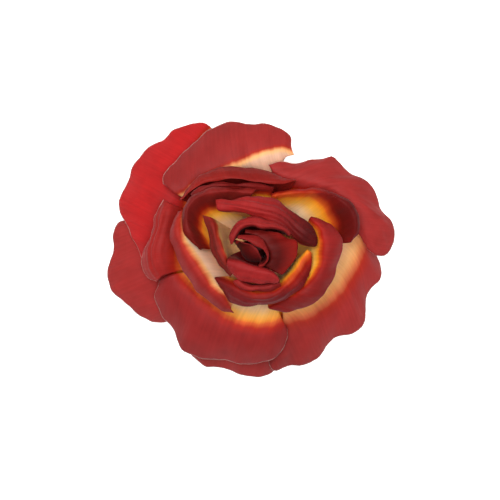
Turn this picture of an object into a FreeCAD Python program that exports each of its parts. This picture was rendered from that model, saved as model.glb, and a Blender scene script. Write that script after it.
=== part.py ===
"""Flower hair clip: a satin rose on a sheet-steel alligator clip.

Millimetres, +Z up, +X along the clip's tail.  The origin is the centre of the
model's footprint at table height.  The rose is a stack on one peg: base cup,
seven rings of petals with a spacer collar above each, and a bud core on top.
Each petal's flat root lies between two collars.  The cup is glued to a felt
disc, and the felt to the clip's upper arm.
"""
import FreeCAD, Part
import Sketcher
import math
import os
from collections import namedtuple
from types import SimpleNamespace

os.makedirs("parts", exist_ok=True)
doc = FreeCAD.newDocument("flower_hair_clip")

# ---------------------------------------------------------------- dimensions
# (alias, value in mm unless noted, what it is)
DIMENSIONS = [
    ("flower_width", 100, "width of the whole rose"),
    ("stack_x", 3.35, "peg axis, from the footprint's centre"),
    ("stack_y", 1.15, "peg axis, from the footprint's centre"),
    ("petal_thickness", 0.4, "stiffened satin, as built"),
    ("root_radius", 9.0, "outer radius of the lowest ring's flat roots"),
    ("root_step", 0.8, "how much smaller each higher ring's roots are"),
    ("root_hole", 1.5, "radius of the hole punched in the roots"),
    ("collar_height", 1.6, "spacer collar between two rings"),
    ("collar_inset", 1.2, "collar edge inside the root's edge"),
    ("peg_diameter", 2.5, "stem peg"),
    ("peg_play", 0.02, "radial, peg in collars and cup"),
    ("peg_head_diameter", 5.0, "head under the cup"),
    ("peg_head_height", 0.8, "head under the cup"),
    ("peg_grip", 4.5, "length of peg inside the bud core"),
    ("core_flange_diameter", 6.8, "bud core's foot on the top roots"),
    ("core_flange_height", 0.8, "bud core's foot on the top roots"),
    ("core_diameter", 3.8, "bud core above its foot"),
    ("core_height", 8.0, "bud core over all"),
    ("cup_diameter", 17.6, "base cup"),
    ("cup_thickness", 1.7, "base cup"),
    ("cup_bevel", 0.7, "bevel round the cup's underside"),
    ("glue_diameter", 21.0, "hot-melt pad at its widest"),
    ("glue_thickness", 0.8, "hot-melt pad"),
    ("felt_diameter", 38.0, "felt disc"),
    ("felt_thickness", 1.5, "felt disc"),
    ("felt_edge", 0.3, "bevel of the felt's cut edges"),
    ("clip_height", 10.0, "table to the top of the upper arm"),
    ("hinge_height", 5.0, "table to the pin's axis"),
    ("hinge_offset", 5.0, "pin's axis, tailwards of the peg's axis"),
    ("sheet_metal", 0.6, "steel sheet of both arms"),
    ("arm_width", 9.0, "upper arm, outside its ears"),
    ("arm_play", 0.1, "each side, lower arm inside the upper"),
    ("nose_length", 36.0, "pin's axis to the nose"),
    ("tail_length", 18.0, "pin's axis to the tail's end"),
    ("nose_rounding", 3.0, "corner radius of nose and tail"),
    ("upper_ear_radius", 2.4, "round end of the upper ears"),
    ("lower_ear_radius", 2.2, "round end of the lower ears"),
    ("rail_height", 1.5, "toothed side rails under the nose"),
    ("rail_length", 18.0, "toothed side rails"),
    ("rail_setback", 3.5, "rails start behind the nose"),
    ("tooth_pitch", 2.0, "teeth along the rails"),
    ("tooth_depth", 1.0, "notches between the teeth"),
    ("tooth_width", 1.4, "notches at their mouth"),
    ("jaw_drop", 2.7, "pin's axis down to the lower arm's mid-sheet"),
    ("jaw_flat", 4.0, "half the flat stretch under the pin"),
    ("nose_gap", 0.05, "lower nose under the upper arm, closed"),
    ("pin_diameter", 1.6, "hinge pin"),
    ("pin_play", 0.03, "radial, pin in the ears"),
    ("pin_head_diameter", 2.8, "riveted heads"),
    ("pin_head_height", 0.5, "riveted heads"),
    ("wire_diameter", 0.7, "torsion spring"),
    ("coil_play", 0.45, "radial, coil round the pin"),
    ("coil_gap", 0.06, "between the coil's turns"),
    ("leg_reach", 12.0, "pin's axis to the end of the spring's legs"),
    ("leg_play", 0.3, "spring's legs clear of both arms"),
]
SPRING_TURNS = 2
WIRE_FLATS = 8
TOOTH_COUNT = 8

# How many facet rows a petal has: across it, up its wall and over its rolled rim.
ROW_COUNT_ACROSS = 10
ROW_COUNT_WALL = 5
ROW_COUNT_ROLL = 3

sheet = doc.addObject("Spreadsheet::Sheet", "Sizes")
for row, (alias, value, note) in enumerate(DIMENSIONS, start=1):
    sheet.set("A%d" % row, note)
    sheet.set("B%d" % row, str(value))
    sheet.setAlias("B%d" % row, alias)
doc.recompute()


class Size:
    """A length that carries both its value and its spreadsheet expression."""

    def __init__(self, value, text):
        self.value = value
        self.text = text

    @staticmethod
    def of(item):
        return item if isinstance(item, Size) else Size(float(item), "%g" % item)

    def __add__(self, other):
        other = Size.of(other)
        return Size(self.value + other.value, "(%s + %s)" % (self.text, other.text))

    def __sub__(self, other):
        other = Size.of(other)
        return Size(self.value - other.value, "(%s - %s)" % (self.text, other.text))

    def __mul__(self, other):
        other = Size.of(other)
        return Size(self.value * other.value, "(%s * %s)" % (self.text, other.text))

    def __truediv__(self, other):
        other = Size.of(other)
        return Size(self.value / other.value, "(%s / %s)" % (self.text, other.text))

    def __neg__(self):
        return Size(-self.value, "(-1 * %s)" % self.text)


d = SimpleNamespace()
for alias, _value, _note in DIMENSIONS:
    setattr(d, alias, Size(float(getattr(sheet, alias)), "Sizes." + alias))
ZERO = Size.of(0)

# Heights of the stack, and the plan position of the peg and of the hinge.
RING_COUNT = 7
FELT_Z = d.clip_height
GLUE_Z = FELT_Z + d.felt_thickness
CUP_Z = GLUE_Z + d.glue_thickness
CUP_TOP_Z = CUP_Z + d.cup_thickness
PEG_RADIUS = d.peg_diameter / 2
PEG_HOLE = PEG_RADIUS + d.peg_play
HINGE_X = d.stack_x + d.hinge_offset


def ring_z(ring):
    """Height of the upper face of a ring's flat roots."""
    return CUP_TOP_Z + d.petal_thickness + (d.collar_height + d.petal_thickness) * ring


def root_radius(ring):
    return d.root_radius - d.root_step * ring


# ------------------------------------------------------------ sketch helpers
def bind(item, prop, length):
    item.setExpression(prop, length.text)


def place(item, x, y, z):
    bind(item, "Placement.Base.x", x)
    bind(item, "Placement.Base.y", y)
    bind(item, "Placement.Base.z", z)


def new_body(label):
    body = doc.addObject("PartDesign::Body", "Body_" + label)
    body.Label = label
    return body


def new_sketch(body, role, name, offset=None):
    """A sketch on one of the body's own origin planes, lifted by offset."""
    sketch = body.newObject("Sketcher::SketchObject", name)
    plane = [item for item in body.Origin.OriginFeatures if item.Role == role][0]
    sketch.AttachmentSupport = [(plane, "")]
    sketch.MapMode = "FlatFace"
    if offset is not None:
        bind(sketch, "AttachmentOffset.Base.z", offset)
    return sketch


def pin_coordinate(sketch, kind, axis, geo, pos, length):
    """Fix one coordinate of a sketch point at a signed size."""
    if abs(length.value) < 1e-9:
        sketch.addConstraint(Sketcher.Constraint("PointOnObject", geo, pos, axis))
        return
    if length.value > 0:
        ends = (-1, 1, geo, pos)
        positive = length
    else:
        ends = (geo, pos, -1, 1)
        positive = -length
    index = sketch.addConstraint(Sketcher.Constraint(kind, *ends, positive.value))
    bind(sketch, "Constraints[%d]" % index, positive)


def pin_point(sketch, geo, pos, x, y):
    y_axis, x_axis = -2, -1
    pin_coordinate(sketch, "DistanceX", y_axis, geo, pos, x)
    pin_coordinate(sketch, "DistanceY", x_axis, geo, pos, y)


def polygon(sketch, corners):
    """A closed outline through corners given as (x, y) sizes."""
    corners = [(Size.of(x), Size.of(y)) for x, y in corners]
    points = [FreeCAD.Vector(x.value, y.value, 0) for x, y in corners]
    first = sketch.GeometryCount
    count = len(points)
    for i in range(count):
        sketch.addGeometry(Part.LineSegment(points[i], points[(i + 1) % count]), False)
    for i in range(count):
        following = first + (i + 1) % count
        sketch.addConstraint(Sketcher.Constraint("Coincident", first + i, 2, following, 1))
    for i, (x, y) in enumerate(corners):
        pin_point(sketch, first + i, 1, x, y)


def rectangle(sketch, x_low, x_high, y_low, y_high):
    polygon(sketch, [(x_low, y_low), (x_high, y_low), (x_high, y_high), (x_low, y_high)])


def circle(sketch, x, y, radius):
    x, y = Size.of(x), Size.of(y)
    centre = FreeCAD.Vector(x.value, y.value, 0)
    geo = sketch.addGeometry(Part.Circle(centre, FreeCAD.Vector(0, 0, 1), radius.value), False)
    pin_point(sketch, geo, 3, x, y)
    index = sketch.addConstraint(Sketcher.Constraint("Radius", geo, radius.value))
    bind(sketch, "Constraints[%d]" % index, radius)


def pad(body, sketch, name, length, symmetric=False, reverse=False):
    feature = body.newObject("PartDesign::Pad", name)
    feature.Profile = sketch
    feature.SideType = "Symmetric" if symmetric else "One side"
    feature.Reversed = reverse
    bind(feature, "Length", length)
    return feature


def pocket(body, sketch, name, length=None, symmetric=False, reverse=False):
    """A pocket that must remove material; no length means right through."""
    doc.recompute()
    before = body.Shape.Volume
    feature = body.newObject("PartDesign::Pocket", name)
    feature.Profile = sketch
    feature.SideType = "Symmetric" if symmetric else "One side"
    feature.Reversed = reverse
    if length is None:
        feature.Type = "ThroughAll"
    else:
        bind(feature, "Length", length)
    doc.recompute()
    if body.Shape.Volume >= before - 1e-6:
        raise RuntimeError(name + " removes nothing")
    return feature


def turned_body(label, profile, x, y, z):
    """A body of revolution about Z, from (radius, height) corners."""
    body = new_body(label)
    sketch = new_sketch(body, "XZ_Plane", label + "_profile")
    polygon(sketch, profile)
    turn = body.newObject("PartDesign::Revolution", label + "_turn")
    turn.Profile = sketch
    turn.ReferenceAxis = (sketch, ["V_Axis"])
    turn.Angle = 360
    place(body, x, y, z)
    return body


# --------------------------------------------------------- stack of the rose
def base_cup():
    """Disc under ring 0; the peg's head sits in a pocket in its underside."""
    rim = d.cup_diameter / 2
    pocket_radius = d.peg_head_diameter / 2 + d.peg_play
    profile = [
        (pocket_radius, ZERO),
        (rim - d.cup_bevel, ZERO),
        (rim, d.cup_bevel),
        (rim, d.cup_thickness),
        (PEG_HOLE, d.cup_thickness),
        (PEG_HOLE, d.peg_head_height),
        (pocket_radius, d.peg_head_height),
    ]
    return turned_body("base_cup", profile, d.stack_x, d.stack_y, CUP_Z)


def stem_peg():
    head = d.peg_head_diameter / 2
    top = ring_z(RING_COUNT - 1) - CUP_Z + d.peg_grip
    profile = [
        (ZERO, ZERO),
        (head, ZERO),
        (head, d.peg_head_height),
        (PEG_RADIUS, d.peg_head_height),
        (PEG_RADIUS, top - PEG_RADIUS / 2),
        (PEG_RADIUS / 2, top),
        (ZERO, top),
    ]
    return turned_body("stem_peg", profile, d.stack_x, d.stack_y, CUP_Z)


def spacer_collar(ring):
    """Plain collar on the peg, pressing on a ring's flat roots."""
    edge = root_radius(ring) - d.collar_inset
    profile = [
        (PEG_HOLE, ZERO),
        (edge, ZERO),
        (edge, d.collar_height),
        (PEG_HOLE, d.collar_height),
    ]
    label = "spacer_collar_%d" % (ring + 1)
    return turned_body(label, profile, d.stack_x, d.stack_y, ring_z(ring))


def bud_core():
    """Pointed tip pushed on the peg's end; its foot holds the top roots."""
    foot = d.core_flange_diameter / 2
    shaft = d.core_diameter / 2
    bore_top = d.peg_grip + d.peg_play
    profile = [
        (PEG_HOLE, ZERO),
        (foot, ZERO),
        (foot, d.core_flange_height),
        (shaft, d.core_flange_height * 2),
        (shaft, d.core_height * 0.8),
        (shaft * 0.6, d.core_height * 0.95),
        (ZERO, d.core_height),
        (ZERO, bore_top),
        (PEG_HOLE, bore_top),
    ]
    top_ring = ring_z(RING_COUNT - 1)
    return turned_body("bud_core", profile, d.stack_x, d.stack_y, top_ring)


def glue_pad():
    """Squeezed-out hot melt: widest at mid height."""
    rim = d.glue_diameter / 2
    bulge = d.glue_thickness / 2
    profile = [
        (ZERO, ZERO),
        (rim - bulge, ZERO),
        (rim, bulge),
        (rim - bulge, d.glue_thickness),
        (ZERO, d.glue_thickness),
    ]
    return turned_body("glue_pad", profile, d.stack_x, d.stack_y, GLUE_Z)


def felt_backing():
    body = new_body("felt_backing")
    sketch = new_sketch(body, "XY_Plane", "felt_outline")
    circle(sketch, 0, 0, d.felt_diameter / 2)
    disc = pad(body, sketch, "felt_disc", d.felt_thickness)
    doc.recompute()
    edges = ["Edge%d" % (i + 1) for i, edge in enumerate(disc.Shape.Edges)
             if isinstance(edge.Curve, Part.Circle)]
    soft_edge = body.newObject("PartDesign::Chamfer", "felt_soft_edge")
    soft_edge.Base = (disc, edges)
    bind(soft_edge, "Size", d.felt_edge)
    place(body, d.stack_x, d.stack_y, FELT_Z)
    return body


# ------------------------------------------------------------------ the clip
# Both arms are drawn from the pin's axis: x towards the tail, z up.
LEVER_TOP = d.clip_height - d.hinge_height
LEVER_UNDER = LEVER_TOP - d.sheet_metal
UPPER_INSIDE = d.arm_width - d.sheet_metal * 2
LOWER_WIDTH = UPPER_INSIDE - d.arm_play * 2
LOWER_INSIDE = LOWER_WIDTH - d.sheet_metal * 2
PIN_HOLE = d.pin_diameter / 2 + d.pin_play


def rounded_ends(body, feature, name):
    """Round the four upright corners of a flat arm."""
    doc.recompute()
    edges = []
    for i, edge in enumerate(feature.Shape.Edges):
        low, high = edge.Vertexes[0].Point, edge.Vertexes[-1].Point
        upright = abs(low.x - high.x) + abs(low.y - high.y) < 1e-6
        if upright:
            edges.append("Edge%d" % (i + 1))
    fillet = body.newObject("PartDesign::Fillet", name)
    fillet.Base = (feature, edges)
    bind(fillet, "Radius", d.nose_rounding)
    return fillet


def pin_holes(body, name):
    sketch = new_sketch(body, "XZ_Plane", name + "_sketch")
    circle(sketch, 0, 0, PIN_HOLE)
    return pocket(body, sketch, name, symmetric=True)


def ears(body, label, radius, root_z, width, inside, floor_z, upward):
    """Two ears: a block with a round end at the pin, hollowed to leave sheet."""
    block = new_sketch(body, "XZ_Plane", label + "_block_sketch")
    rectangle(block, -radius, radius, min(root_z, ZERO, key=value_of),
              max(root_z, ZERO, key=value_of))
    pad(body, block, label + "_block", width, symmetric=True)
    end = new_sketch(body, "XZ_Plane", label + "_end_sketch")
    circle(end, 0, 0, radius)
    pad(body, end, label + "_end", width, symmetric=True)
    inner = new_sketch(body, "XY_Plane", label + "_inner_sketch", floor_z)
    reach = radius + d.sheet_metal
    rectangle(inner, -reach, reach, -(inside / 2), inside / 2)
    depth = radius * 2 + d.hinge_height
    pocket(body, inner, label + "_inner", depth, reverse=upward)


def value_of(length):
    return length.value


def clip_upper_arm():
    """Flat arm under the felt, with ears at the pin and toothed side rails."""
    body = new_body("clip_upper_arm")
    half = d.arm_width / 2
    outline = new_sketch(body, "XY_Plane", "upper_outline", LEVER_UNDER)
    rectangle(outline, -d.nose_length, d.tail_length, -half, half)
    plate = pad(body, outline, "upper_plate", d.sheet_metal)
    rounded_ends(body, plate, "upper_round_ends")

    rail_low = LEVER_UNDER - d.rail_height
    rail_start = d.rail_setback - d.nose_length
    rails = new_sketch(body, "XZ_Plane", "rail_side_view")
    rectangle(rails, rail_start, rail_start + d.rail_length, rail_low, LEVER_UNDER)
    pad(body, rails, "rail_block", d.arm_width, symmetric=True)
    between = new_sketch(body, "XY_Plane", "rail_gap_sketch", LEVER_UNDER)
    rectangle(between, rail_start - 1, rail_start + d.rail_length + 1,
              -(UPPER_INSIDE / 2), UPPER_INSIDE / 2)
    pocket(body, between, "rail_gap", d.rail_height + 1)

    notch = new_sketch(body, "XZ_Plane", "notch_sketch")
    notch_x = rail_start + d.tooth_pitch
    polygon(notch, [
        (notch_x - d.tooth_width / 2, rail_low),
        (notch_x + d.tooth_width / 2, rail_low),
        (notch_x, rail_low + d.tooth_depth),
    ])
    first_notch = pocket(body, notch, "first_notch", symmetric=True)
    teeth = body.newObject("PartDesign::LinearPattern", "teeth")
    teeth.Originals = [first_notch]
    teeth.Direction = (notch, ["H_Axis"])
    teeth.Mode = "Spacing"
    bind(teeth, "Offset", d.tooth_pitch)
    teeth.Occurrences = TOOTH_COUNT
    body.Tip = teeth

    ears(body, "upper_ears", d.upper_ear_radius, LEVER_UNDER, d.arm_width, UPPER_INSIDE,
         LEVER_UNDER, upward=False)
    pin_holes(body, "upper_pin_holes")
    place(body, HINGE_X, d.stack_y, d.hinge_height)
    return body


def bent_strip(body, section, name, flat, reach, end_z):
    """Sweep the sheet's section along a flat stretch and a tangent bow."""
    path = new_sketch(body, "XZ_Plane", name + "_path")
    sheet_z = -d.jaw_drop
    start = FreeCAD.Vector(0, sheet_z.value, 0)
    bend = FreeCAD.Vector(flat.value, sheet_z.value, 0)
    run = reach.value - flat.value
    rise = end_z.value - sheet_z.value
    radius = (run * run + rise * rise) / (2 * abs(rise))
    side = math.copysign(1, rise)
    centre = FreeCAD.Vector(flat.value, sheet_z.value + side * radius, 0)
    at_bend = -side * math.pi / 2
    at_end = at_bend + math.copysign(math.asin(abs(run) / radius), run * side)
    bow = Part.Circle(centre, FreeCAD.Vector(0, 0, 1), radius)
    path.addGeometry(Part.LineSegment(start, bend), False)
    path.addGeometry(Part.ArcOfCircle(bow, min(at_bend, at_end), max(at_bend, at_end)), False)
    bend_pos, end_pos = (2, 1) if at_end < at_bend else (1, 2)
    path.addConstraint(Sketcher.Constraint("Tangent", 0, 2, 1, bend_pos))
    pin_point(path, 0, 1, ZERO, sheet_z)
    pin_point(path, 0, 2, flat, sheet_z)
    pin_point(path, 1, end_pos, reach, end_z)
    doc.recompute()
    strip = body.newObject("PartDesign::AdditivePipe", name)
    strip.Profile = section
    strip.Spine = (path, ["Edge1", "Edge2"])
    return strip


def clip_lower_arm():
    """Jaw: flat under the pin, bowed up to the nose and down to the tail."""
    body = new_body("clip_lower_arm")
    half = LOWER_WIDTH / 2
    skin = d.sheet_metal / 2
    section = new_sketch(body, "YZ_Plane", "jaw_section")
    rectangle(section, -half, half, -d.jaw_drop - skin, -d.jaw_drop + skin)
    nose_z = LEVER_UNDER - skin - d.nose_gap
    bent_strip(body, section, "jaw_nose", -d.jaw_flat, -d.nose_length, nose_z)
    tail_z = skin - d.hinge_height
    bent_strip(body, section, "jaw_tail", d.jaw_flat, d.tail_length, tail_z)
    ears(body, "lower_ears", d.lower_ear_radius, -d.jaw_drop, LOWER_WIDTH, LOWER_INSIDE,
         -d.jaw_drop + skin, upward=True)
    pin_holes(body, "lower_pin_holes")
    place(body, HINGE_X, d.stack_y, d.hinge_height)
    return body


def hinge_pin():
    """Rivet along Y with a head outside each upper ear."""
    body = new_body("hinge_pin")
    shank = d.pin_diameter / 2
    head = d.pin_head_diameter / 2
    inner = d.arm_width / 2
    outer = inner + d.pin_head_height
    sketch = new_sketch(body, "XY_Plane", "pin_profile")
    polygon(sketch, [
        (ZERO, -outer), (head * 0.7, -outer), (head, -inner - d.pin_head_height / 2),
        (head, -inner), (shank, -inner), (shank, inner), (head, inner),
        (head, inner + d.pin_head_height / 2), (head * 0.7, outer), (ZERO, outer),
    ])
    turn = body.newObject("PartDesign::Revolution", "pin_turn")
    turn.Profile = sketch
    turn.ReferenceAxis = (sketch, ["V_Axis"])
    turn.Angle = 360
    place(body, HINGE_X, d.stack_y, d.hinge_height)
    return body


def rod(start, end, radius):
    """A round bar between two points."""
    along = end - start
    return Part.makeCylinder(radius, along.Length, start, along)


def leg_slope(coil_radius, reach, height):
    """Slope of the line that leaves the coil and meets height at reach."""
    slope = 0.0
    for _step in range(20):
        slope = math.atan2(height - coil_radius / math.cos(slope), reach)
    return slope


def torsion_spring():
    """Wire coil round the pin, with a straight leg under each tail plate."""
    wire = d.wire_diameter.value / 2
    coil = d.pin_diameter.value / 2 + d.coil_play.value + wire
    reach = d.leg_reach.value
    upper_z = (LEVER_UNDER - d.leg_play).value - wire
    run = (d.tail_length - d.jaw_flat).value
    drop = (d.hinge_height - d.sheet_metal / 2 - d.jaw_drop).value
    tail_bow = (run * run + drop * drop) / (2 * drop)
    along = reach - d.jaw_flat.value
    sag = tail_bow - math.sqrt(tail_bow * tail_bow - along * along)
    lower_z = -(d.jaw_drop.value + sag - d.sheet_metal.value / 2 - wire) + d.leg_play.value
    up = leg_slope(coil, reach, upper_z)
    down = leg_slope(coil, reach, -lower_z)

    pitch = d.wire_diameter.value + d.coil_gap.value
    turns = SPRING_TURNS + (math.pi - up - down) / (2 * math.pi)
    width = pitch * turns
    helix = Part.makeHelix(pitch, width, coil)
    start = FreeCAD.Vector(coil, 0, 0)
    section = Part.makePolygon([
        start + FreeCAD.Vector(math.cos(turn), 0, math.sin(turn)) * wire
        for turn in (2 * math.pi * k / WIRE_FLATS for k in range(WIRE_FLATS + 1))])
    winding = Part.Wire(helix.Edges).makePipeShell([section], True, True)
    winding.rotate(FreeCAD.Vector(0, 0, 0), FreeCAD.Vector(0, 0, 1), 90 + math.degrees(up))
    winding.rotate(FreeCAD.Vector(0, 0, 0), FreeCAD.Vector(1, 0, 0), 90)
    winding.translate(FreeCAD.Vector(0, width / 2, 0))

    top = FreeCAD.Vector(-coil * math.sin(up), width / 2, coil * math.cos(up))
    top_end = FreeCAD.Vector(reach, width / 2, upper_z)
    bottom = FreeCAD.Vector(-coil * math.sin(down), -width / 2, -coil * math.cos(down))
    bottom_end = FreeCAD.Vector(reach, -width / 2, lower_z)
    shape = winding.fuse([rod(top, top_end, wire), rod(bottom, bottom_end, wire)])
    feature = doc.addObject("Part::Feature", "Spring")
    feature.Label = "torsion_spring"
    feature.Shape = shape.Solids[0] if len(shape.Solids) == 1 else shape
    place(feature, HINGE_X, d.stack_y, d.hinge_height)
    return feature


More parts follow.
